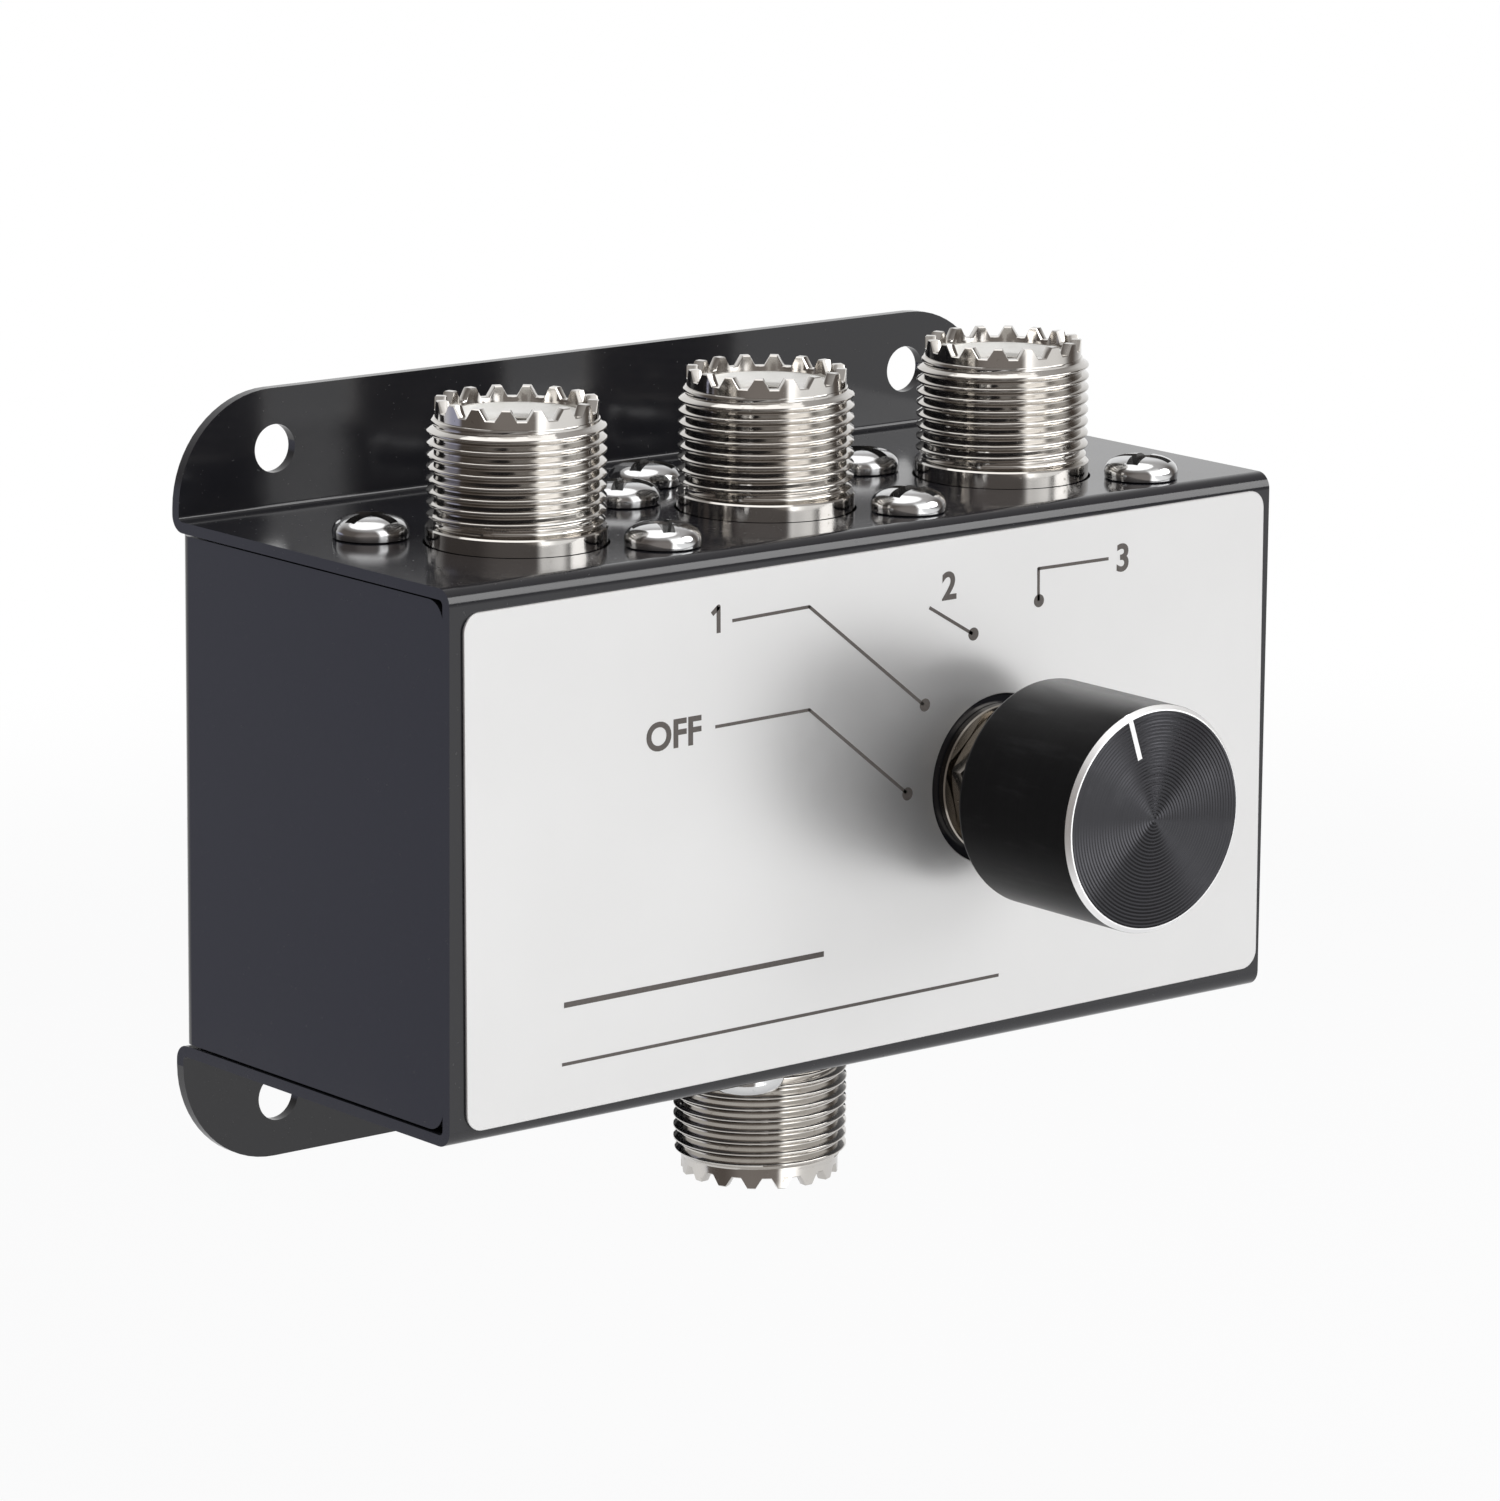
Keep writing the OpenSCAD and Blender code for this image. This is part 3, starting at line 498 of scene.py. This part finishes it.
def shell_shape():
    """Rows over the teeth, down the bore and up outside to the thread; the thread; the square flange."""
    rim = 0.09                                                 # the small break on the teeth's edges
    rows = [turned(CREST - DEPTH, THREAD_TOP), turned(NECK, THREAD_TOP), rim_row(NECK, NECK_HEIGHT - 0.01)]
    rows += [rim_row(NECK, rim), rim_row(NECK - rim, 0.0)]
    rows += [rim_row(BORE + 0.32, 0.0), rim_row(BORE + 0.22, 0.1), turned(BORE + 0.2, TOOTH_ROOT - 0.25)]
    rows += [turned(BORE, TOOTH_ROOT - 1.15), turned(BORE, TUBE_END + 0.1)]
    rows += [turned(BORE + 0.1, TUBE_END), turned(TUBE - 0.1, TUBE_END), turned(TUBE, TUBE_END + 0.1)]
    rows += [turned(TUBE, FLANGE_HIGH), turned(COLLAR_R, FLANGE_HIGH), turned(COLLAR_R, COLLAR - 0.14),
             turned(COLLAR_R - 0.13, COLLAR), turned(CREST - DEPTH, COLLAR)]
    barrel = joined(skin(rows), thread())
    corners = [circle(SCREW_HOLE, sx * SCREW_REACH, sy * SCREW_REACH, 24) for sx in (-1, 1) for sy in (-1, 1)]
    holes = corners + [circle(TUBE + 0.02, count=64)]
    flange = plate(rounded(FLANGE, FLANGE, 0.8), holes, FLANGE_LOW, FLANGE_HIGH, 0.12)
    return joined(barrel, flange)


def on_plate(x, y, side):
    """Places a piece on the top plate (side 1), or turned over on the bottom plate (side -1)."""
    turn = Matrix.Rotation(math.pi, 4, "Y") if side < 0 else Matrix.Identity(4)
    return Matrix.Translation((x, y, TOP * side)) @ turn


shell_points, shell_faces = shell_shape()
DISH = [(5.98, -3.0), (5.98, -0.55), (5.85, -0.42), (5.35, -0.38), (4.9, -0.5), (4.2, -0.72),
        (2.75, -0.85), (2.66, -0.95), (2.66, -3.0)]            # radius, and depth below the tooth roots
dish_rows = [ring(r, TOOTH_ROOT + z, 72) for r, z in DISH]
for end, x in SOCKETS.items():
    place = on_plate(x, SOCKET_Y, -1 if end == "in" else 1)
    piece(f"threaded_shell_{end}", shell_points, shell_faces, bright_nickel, place, "housing",
          "nickel_plate", [f"shell_{end}"], sharp=38)
    piece(f"dished_insulator_{end}", *skin(dish_rows, closed=True), white_resin, place, "housing",
          "white_insulator", [f"insulator_{end}"], sharp=50)
print("socket shell:", len(shell_points), "points each")

# %% [markdown]
# ## Screws
# A pan head is a turned dome with a cross recess. The recess is cut by a Boolean with a tapered cross,
# which leaves the narrow flutes and the flat bottom that a driver's tip needs. Its faces are also painted
# darker, as shade. The dome isn't a part of a sphere: powers of the cosine and sine make its side steep
# and its top flat.

# %% Pan-head screws
HEAD_R, HEAD_BASE, HEAD_RISE = 3.45, 0.35, 1.75
WIDE, FLAT = 0.62, 0.85            # the powers of the cosine and the sine
SHANK_R, SHANK_LENGTH = 1.7, 6.0
SHANK_ROWS, SHANK_STEP, SHANK_GROOVE = 20, 0.3, 0.25     # plain rings, because the plate hides the shank
ROUND = 32                         # points round a screw


def screw_mesh():
    rows = [ring(SHANK_R - SHANK_GROOVE * (j % 2), -SHANK_LENGTH + SHANK_STEP * j, ROUND)
            for j in range(SHANK_ROWS)]
    rows += [ring(SHANK_R, -0.2, ROUND), ring(3.15, 0.0, ROUND), ring(3.38, 0.12, ROUND)]
    for k in range(1, 12):
        a = math.radians(7.5 * k)
        rows.append(ring(HEAD_R * math.cos(a) ** WIDE, HEAD_BASE + HEAD_RISE * math.sin(a) ** FLAT, ROUND))
    points, faces = skin(rows)
    n = len(points)
    points += [(0, 0, -SHANK_LENGTH), (0, 0, HEAD_BASE + HEAD_RISE)]
    faces += [(n, (i + 1) % ROUND, i) for i in range(ROUND)]
    faces += [(n + 1, n - ROUND + i, n - ROUND + (i + 1) % ROUND) for i in range(ROUND)]
    return points, faces


def cross_mesh():
    """A cross of three rows, each with its reach, half the width of its arms, and its height."""
    rows = []
    for reach, half, z in ((3.0, 0.70, 2.9), (2.72, 0.50, 1.35), (1.0, 0.34, 0.3)):
        quarter = [(reach, -half), (reach, half), (half + 0.08, half + 0.08)]
        row = []
        for k in range(4):
            c, s = round(math.cos(math.pi / 2 * k)), round(math.sin(math.pi / 2 * k))
            row += [(px * c - py * s, px * s + py * c, z) for px, py in quarter]
        rows.append(row)
    points, faces = skin(rows)
    return points, faces + [tuple(reversed(range(12))), tuple(range(24, 36))]


def plain_object(name, shape):
    """An object for a Boolean, in millimetres; it is deleted after the cut."""
    mesh = bpy.data.meshes.new(name)
    mesh.from_pydata([Vector(p) for p in shape[0]], [], shape[1])
    work = bmesh.new()
    work.from_mesh(mesh)
    bmesh.ops.recalc_face_normals(work, faces=work.faces)
    work.to_mesh(mesh)
    work.free()
    made = bpy.data.objects.new(name, mesh)
    bpy.context.scene.collection.objects.link(made)
    return made


def cut(shape, cutter):
    """The first shape with the second one cut out of it, as points and faces."""
    body, tool = plain_object("cut_body", shape), plain_object("cut_tool", cutter)
    boolean = body.modifiers.new("cut", "BOOLEAN")
    boolean.operation, boolean.object, boolean.solver = "DIFFERENCE", tool, "EXACT"
    mesh = body.evaluated_get(bpy.context.evaluated_depsgraph_get()).to_mesh()
    result = [tuple(v.co) for v in mesh.vertices], [tuple(p.vertices) for p in mesh.polygons]
    for old in (body, tool):
        bpy.data.objects.remove(old)
    return result


# the recess faces inside these bounds get painted shade, a darker zinc
RECESS_REACH, RECESS_FLOOR, RECESS_SINK = 2.95, 0.25, 0.14     # how far out, how low, how far under the dome


def paint_recess_shade(screw, place):
    """Faces lying under the dome are the recess's; they take the darker zinc, which is painted shade."""
    back = place.inverted()
    for polygon in screw.data.polygons:
        x, y, z = back @ (polygon.center / MM)
        reach = min(1.0, math.hypot(x, y) / HEAD_R) ** (1 / WIDE)
        dome = HEAD_BASE + HEAD_RISE * math.sqrt(1 - reach * reach) ** FLAT
        if math.hypot(x, y) < RECESS_REACH and RECESS_FLOOR < z < dome - RECESS_SINK:
            polygon.material_index = 1


# each screw is plain zinc, with painted shade on the faces of its cross recess
def add_screw(name, points, place, node):
    screw = piece(name, points, screw_faces, screw_zinc, place, "housing", "screw_steel", [node],
                  sharp=30, materials=[recess_painted_shade])
    paint_recess_shade(screw, place)


screw_points, screw_faces = cut(screw_mesh(), cross_mesh())
SPOTS = ((-SCREW_REACH, SCREW_REACH, "rear"), (SCREW_REACH, -SCREW_REACH, "front"))     # two of four corners
SCREW_TURNS = {"out1": (12, 63), "out2": (40, 22), "out3": (5, 30), "in": (50, 75)}     # degrees
COVER_SCREW, COVER_TURN, COVER_SHANK = (-2.5, -10.8), 33, 4.0
for end, x in SOCKETS.items():
    side = -1 if end == "in" else 1
    for (dx, dy, which), angle in zip(SPOTS, SCREW_TURNS[end]):
        place = on_plate(x + dx * side, SOCKET_Y + dy, side) @ Matrix.Rotation(math.radians(angle), 4, "Z")
        add_screw(f"pan_screw_{end}_{which}", screw_points, place, "socket_screws")
short = [(px, py, max(pz, -COVER_SHANK)) for px, py, pz in screw_points]     # the cover's screws are shorter
for side, which in ((1, "top"), (-1, "bottom")):
    place = on_plate(*COVER_SCREW, side) @ Matrix.Rotation(math.radians(COVER_TURN), 4, "Z")
    add_screw(f"cover_screw_{which}", short, place, "cover_screws")
print("screw:", len(screw_points), "points each")

# %% [markdown]
# ## The label
# A thin plate stuck on a little crooked, half a degree, with a round hole for the switch. Its printing
# is a film of ink: leader lines to the four position dots, the position marks, and two plain rules
# below. An image would blur from near by, but a film of real outlines, a few hundredths of a millimetre
# thick, stays crisp and reads as print from any side.

# %% Label and its printing
LABEL_WIDTH, LABEL_HEIGHT, LABEL_TOP = 92.8, 45.6, 0.27
SWITCH_HOLE = 7.85
FINE, BROAD, STROKE = 0.3, 0.5, 0.44        # widths of the leaders, the upper rule and the figure 1
label_place = Matrix.Translation((0.0, FRONT, 0.0)) @ FACING
label_outline = rounded(LABEL_WIDTH, LABEL_HEIGHT, 1.7, turn=0.5, x=0.4, y=-0.07)
label = plate(label_outline, [circle(SWITCH_HOLE, SWITCH_X, 0.0, 96)], 0.0, LABEL_TOP, 0.06)
piece("printed_label", *label, satin_label, label_place, "housing", "label_print", ["front_label"], sharp=25)


def ink(name, loops):
    """A film of ink over the given outlines."""
    shapes = [plate(loop, [], LABEL_TOP - 0.01, LABEL_TOP + 0.02, 0.004) for loop in loops]
    piece(name, *joined(*shapes), printing_ink, label_place, "housing", "label_print", sharp=25)


def stroke(points, width):
    """Outlines of the straight runs of a line, with a disc at each bend, all counter-clockwise."""
    loops = []
    for a, b in zip(points, points[1:]):
        a, b = Vector(a), Vector(b)
        n = (b - a).normalized().orthogonal() * width / 2
        loops.append([tuple(a + n), tuple(a - n), tuple(b - n), tuple(b + n)])
    loops += [circle(width / 2, *p, count=12) for p in points[1:-1]]
    return [loop if turns_left(loop) else loop[::-1] for loop in loops]


def turns_left(loop):
    return sum(loop[i - 1][0] * p[1] - p[0] * loop[i - 1][1] for i, p in enumerate(loop)) > 0


LEADERS = [[(-18.66, 9.06), (-7.97, 9.22), (3.45, 0.15)],
           [(-16.84, 18.31), (-8.1, 18.52), (5.32, 7.98)],
           [(5.86, 16.78), (11.01, 13.78)],
           [(27.31, 18.79), (18.81, 18.84), (18.87, 15.88)]]
DOTS = [(3.57, 0.04), (5.49, 7.94), (11.13, 13.74), (18.93, 15.87)]
for k, line in enumerate(LEADERS):
    ink(f"leader_{k}", stroke(line, FINE))
ink("position_dots", [circle(0.6, *d, count=32) for d in DOTS])
upper_rule = stroke([(-35.3, -13.5), (-6.0, -13.3)], BROAD)
lower_rule = stroke([(-35.5, -18.8), (14.8, -18.4)], FINE)
ink("plain_rules", upper_rule + lower_rule)


def mark(name, text, x, z, height):
    """A position mark in Blender's own plain letters, made a little bolder and turned into ink."""
    cap_height = 0.71                       # of that font's letters, at size 1
    bolder, half_thick = 0.09, 0.015
    print_turn = 0.56                       # degrees; about as crooked as the label
    curve = bpy.data.curves.new(name, "FONT")
    curve.body, curve.size, curve.offset = text, height / cap_height * MM, bolder * MM
    curve.extrude = half_thick * MM
    curve.resolution_u = 6
    text_object = bpy.data.objects.new(name, curve)
    bpy.context.scene.collection.objects.link(text_object)
    mesh = bpy.data.meshes.new_from_object(text_object.evaluated_get(bpy.context.evaluated_depsgraph_get()))
    bpy.data.objects.remove(text_object)
    mesh.transform(Matrix.Translation(Vector((x, FRONT - LABEL_TOP - 0.005, z)) * MM) @ FACING
                   @ Matrix.Rotation(math.radians(print_turn), 4, "Z"))
    mesh.materials.clear()
    mesh.materials.append(printing_ink)
    made = bpy.data.objects.new(name, mesh)
    bpy.context.scene.collection.objects.link(made)
    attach(made, "housing")


mark("mark_off", "OFF", -26.4, 7.8, 2.5)
ink("mark_1", stroke([(-19.12, 19.15), (-18.4, 19.72), (-18.37, 17.4)], STROKE))
mark("mark_2", "2", 7.3, 17.3, 2.5)
mark("mark_3", "3", 28.2, 17.5, 2.5)
print("label printed with", len(DOTS), "positions")

# %% [markdown]
# ## The knob
# The knob's shell is turned from bar: a wall, a polished bevel and a flat face, with a pointer line
# from half way out to the rim and down the bevel. The lathe leaves rings of fine V grooves on the face,
# and their slopes catch the light in two opposite cones. They are real here, because a bump alone
# doesn't show from near by. All the rings are skinned as one surface, and each zone takes its finish.

# %% Knob
KNOB_R, KNOB_BACK, KNOB_FACE, BEVEL = 10.3, 6.6, 21.27, 0.42
KNOB_BORE, KNOB_ROOF = 9.1, 1.5             # the shell's inner radius and the thickness of its face
POINTER, POINTER_HALF = -18.5, 0.26         # degrees from straight up, and half the line's width
KNOB_ROUND = 144                            # points round the knob
profile = [(KNOB_BORE, KNOB_BACK), (10.1, KNOB_BACK), (10.25, KNOB_BACK + 0.1), (KNOB_R, KNOB_BACK + 0.3),
           (KNOB_R, KNOB_FACE - BEVEL - 0.05), (KNOB_R - 0.02, KNOB_FACE - BEVEL),
           (KNOB_R - BEVEL + 0.02, KNOB_FACE - 0.02), (KNOB_R - BEVEL - 0.05, KNOB_FACE),
           (9.78, KNOB_FACE)]
GROOVES, GROOVE_DEPTH = 30, 0.034
GROOVES_FROM, GROOVES_WIDE = 9.76, 9.66     # the first groove's outer radius, and the width of them all
groove_width = GROOVES_WIDE / GROOVES
for k in range(GROOVES):
    outer = GROOVES_FROM - k * groove_width
    profile.append((outer - groove_width * 0.45, KNOB_FACE - GROOVE_DEPTH))
    profile.append((outer - groove_width * 0.9, KNOB_FACE))
profile[-1] = (0.1, KNOB_FACE)
inside = [(0.1, KNOB_FACE - KNOB_ROOF), (KNOB_BORE, KNOB_FACE - KNOB_ROOF)]
knob_rows = [ring(r, z, KNOB_ROUND) for r, z in profile + inside]
knob_points, knob_faces = skin(knob_rows, closed=True)
knob_centre = len(knob_points)
knob_points.append((0.0, 0.0, KNOB_FACE))
face_row = (len(profile) - 1) * KNOB_ROUND
knob_faces += [(face_row + i, face_row + (i + 1) % KNOB_ROUND, knob_centre) for i in range(KNOB_ROUND)]
knob = piece("knob_turned", knob_points, knob_faces, knob_side, at_switch(), "selector", "knob_anodised",
             ["knob_shell"], sharp=6, materials=[knob_face, knob_bright])
for polygon in knob.data.polygons:
    height = -(polygon.center.y / MM) + FRONT
    radius = math.hypot(polygon.center.x / MM - SWITCH_X, polygon.center.z / MM)
    if height > KNOB_FACE - BEVEL - 0.02 and radius > 9.8:
        polygon.material_index = 2
    elif height > KNOB_FACE - 0.1:
        polygon.material_index = 1

spin = at_switch() @ Matrix.Rotation(math.radians(-POINTER), 4, "Z")
half, proud, deep = POINTER_HALF, KNOB_FACE + 0.02, KNOB_FACE - 0.2
line = plate([(-half, 6.0), (half, 6.0), (half, 9.72), (-half, 9.72)], [], deep, proud, 0.01)
# the line's outer end lies on the bevel: a block of eight corners
tip = [(-half, 9.70, proud), (half, 9.70, proud), (half, 10.31, KNOB_FACE - BEVEL + 0.01),
       (-half, 10.31, KNOB_FACE - BEVEL + 0.01), (-half, 9.70, deep), (half, 9.70, deep),
       (half, 10.2, KNOB_FACE - BEVEL - 0.1), (-half, 10.2, KNOB_FACE - BEVEL - 0.1)]
box_faces = [(0, 1, 2, 3), (7, 6, 5, 4), (0, 4, 5, 1), (1, 5, 6, 2), (2, 6, 7, 3), (3, 7, 4, 0)]
piece("pointer_line", *joined(line, (tip, box_faces)), knob_bright, spin, "selector",
      "knob_anodised", sharp=25)
print("knob:", len(knob_points), "points")

# %% [markdown]
# ## The nut and washer
# The nut is a hexagon with its corners turned down to a cone, and a hole for the bushing. It could be a
# prism cut by two cones, but columns of points round it give the same curved corners without a cut. The
# washer under it is a plain ring whose polished edge shows as a bright line.

# %% Nut and washer
def hexagon_nut(flats, height, bore, turn):
    """Columns round a hexagon; a cone of 30 degrees turned on both ends meets each flat in a curve."""
    inner = flats / 2 - 0.15                # where the cone meets the end face
    columns = []
    count = 120
    for i in range(count):
        t = 2 * math.pi * i / count
        off = (t + math.pi / 6 - math.radians(turn)) % (math.pi / 3) - math.pi / 6
        r = flats / 2 / math.cos(off)
        fall = (r - inner) * math.tan(math.radians(30))
        column = [(inner, 0.0), (r, fall), (r, height - fall), (inner, height), (bore + 0.35, height),
                  (bore, height - 0.3), (bore, 0.3), (bore + 0.3, 0.0)]
        columns.append([(radius * math.cos(t), radius * math.sin(t), z) for radius, z in column])
    return skin([list(row) for row in zip(*columns)], closed=True)


WASHER_R, WASHER_BORE, WASHER_HEIGHT = 6.95, 4.9, 0.8
nut = hexagon_nut(flats=11.8, height=2.4, bore=4.77, turn=15)
piece("bushing_nut", *nut, nut_nickel, at_switch(WASHER_HEIGHT), "housing", "nickel_plate", ["switch_nut"],
      sharp=28)
washer_rows = [ring(WASHER_BORE, 0.0), ring(WASHER_R - 0.1, 0.0), ring(WASHER_R, 0.1),
               ring(WASHER_R, WASHER_HEIGHT - 0.12), ring(WASHER_R - 0.12, WASHER_HEIGHT),
               ring(WASHER_BORE + 0.1, WASHER_HEIGHT), ring(WASHER_BORE, WASHER_HEIGHT - 0.1)]
piece("bushing_washer", *skin(washer_rows, closed=True), nut_nickel, at_switch(), "housing", "nickel_plate",
      ["switch_washer"], sharp=28)
print("nut:", len(nut[0]), "points; washer:", sum(len(row) for row in washer_rows))

# %% [markdown]
# ## The world
# The world is a studio as the object sees it: a dark warm room, a lighter wall behind the camera, a white
# backdrop behind the object, a pale ceiling and floor, a cool patch at the rear left, and a tall soft box
# with a slanting strip to the front right. They give the nickel its brown-grey bands and bright third, the
# cover's side its bluish tint, and leave the enamel black. A plain grey world would make all of it look
# like plastic. The camera sees plain white instead.

# %% World
w = Finish(bpy.data.worlds.new("studio"))
bpy.context.scene.world = w.owner
direction = w.add("ShaderNodeTexCoord", output="Generated")


def toward(x, y, z):
    return w.add("ShaderNodeVectorMath", {"operation": "DOT_PRODUCT"}, {
        0: direction, 1: Vector((x, y, z)).normalized()}, output="Value")


front_right = toward(0.55, -0.82, 0.0)
window = w.between(front_right, 0.70, 0.92)
strip_across = w.add("ShaderNodeMath", {"operation": "ABSOLUTE"}, {0: toward(0.34, 0.0, 0.94) - 0.007})
strip = w.between(strip_across, 0.08, 0.26, 1.0, 0.0) * w.between(front_right, 0.72, 0.9)
backdrop_glow = w.between(toward(0.45, 0.88, 0.1), 0.3, 0.9)
sideways = w.add("ShaderNodeMath", {"operation": "ABSOLUTE"}, {0: toward(0.985, 0.17, 0.0)})
tall_box = w.between(sideways, 0.20, 0.40, 1.0, 0.0) * w.between(toward(0.17, -0.985, 0.0), 0.15, 0.5)
left_rear = w.between(toward(-0.62, 0.76, -0.2), 0.93, 0.985)
opposite = w.between(toward(-0.62, -0.76, -0.1), 0.6, 0.95)
ceiling = w.between(toward(0.0, 0.0, 1.0), 0.45, 0.9)
below = w.between(toward(0.0, 0.0, -1.0), 0.45, 0.8)
room = w.mix(opposite, rgb(0.13, 0.112, 0.101), rgb(0.27, 0.245, 0.23))
room = w.mix(window, room, rgb(0.28, 0.27, 0.265))
room = w.mix(left_rear, room, rgb(0.42, 0.43, 0.56))
room = w.mix(tall_box, room, grey(2.7))
room = w.mix(strip, room, grey(1.1))
room = w.mix(backdrop_glow, room, grey(1.0))
room = w.mix(ceiling, room, rgb(0.58, 0.565, 0.555))
room = w.mix(below, room, grey(0.6))
seen = w.add("ShaderNodeLightPath", output="Is Camera Ray")
clear = w.add("ShaderNodeLightPath", output="Is Transmission Ray")
mirrored = w.add("ShaderNodeLightPath", output="Is Glossy Ray")
lit = w.mix(mirrored, rgb(0.45, 0.45, 0.46), room)
shown = w.mix(seen + clear, lit, grey(1.0))
background = w.add("ShaderNodeBackground", inputs={"Color": shown, "Strength": 1.0})
w.add("ShaderNodeOutputWorld", inputs={0: background})
print("world nodes:", len(w.nodes))

# %% [markdown]
# ## Lamps and floor
# Two soft lamps give the plain light: one where the soft box stands, one overhead. The floor is a pale
# disc under the switch. To the camera it is partly lit by itself, more so toward its rim, so that it
# melts into the white backdrop and still keeps the soft shadow.

# %% Lamps and floor
def soft_lamp(name, where, aim, size, power):
    data = bpy.data.lights.new(name, "AREA")
    data.shape, data.size, data.energy = "DISK", size, power
    lamp = bpy.data.objects.new(name, data)
    bpy.context.scene.collection.objects.link(lamp)
    lamp.location = where
    lamp.rotation_euler = (Vector(aim) - Vector(where)).to_track_quat("-Z", "Y").to_euler()


soft_lamp("window_lamp", (0.75, -0.75, 0.5), (0, 0, 0), 0.75, 6.0)
soft_lamp("top_lamp", (-0.15, 0.1, 1.2), (0, 0, 0), 1.5, 6.5)

FLOOR_Z, FLOOR_R, FLOOR_X, FLOOR_Y = -0.10, 0.37, 0.17, 0.13      # metres
f = finish("pale_floor")
out_x, out_y = f.axis("X") - FLOOR_X, f.axis("Y") - FLOOR_Y
far = f.between((out_x * out_x + out_y * out_y) ** 0.5, 0.15, 0.33)
glow = f.add("ShaderNodeLightPath", output="Is Camera Ray")
glossy = f.add("ShaderNodeLightPath", output="Is Glossy Ray")
clear = f.add("ShaderNodeLightPath", output="Is Transmission Ray")
sheet = f.mix(f.noise(8.0, 3.0), grey(0.93), grey(0.95))
paper = f.add("ShaderNodeBsdfDiffuse", inputs={"Color": sheet})
white = f.add("ShaderNodeEmission", inputs={"Color": grey(1.0), "Strength": 1.0})
lift = (glow + clear) * (0.78 + 0.22 * far) + glossy * far
blend = f.add("ShaderNodeMixShader", inputs={0: lift, 1: paper, 2: white})
f.add("ShaderNodeOutputMaterial", inputs={0: blend})
rim_points = [(FLOOR_X + x, FLOOR_Y + y, FLOOR_Z) for x, y, _ in ring(FLOOR_R, 0.0)]
floor_mesh = bpy.data.meshes.new("floor")
floor_mesh.from_pydata(rim_points, [], [tuple(range(len(rim_points)))])
floor_mesh.materials.append(f.owner)
floor = bpy.data.objects.new("floor", floor_mesh)
bpy.context.scene.collection.objects.link(floor)
bpy.context.scene.view_settings.view_transform = "Standard"
print("floor:", len(rim_points), "points; lamps:", len(bpy.data.lights))
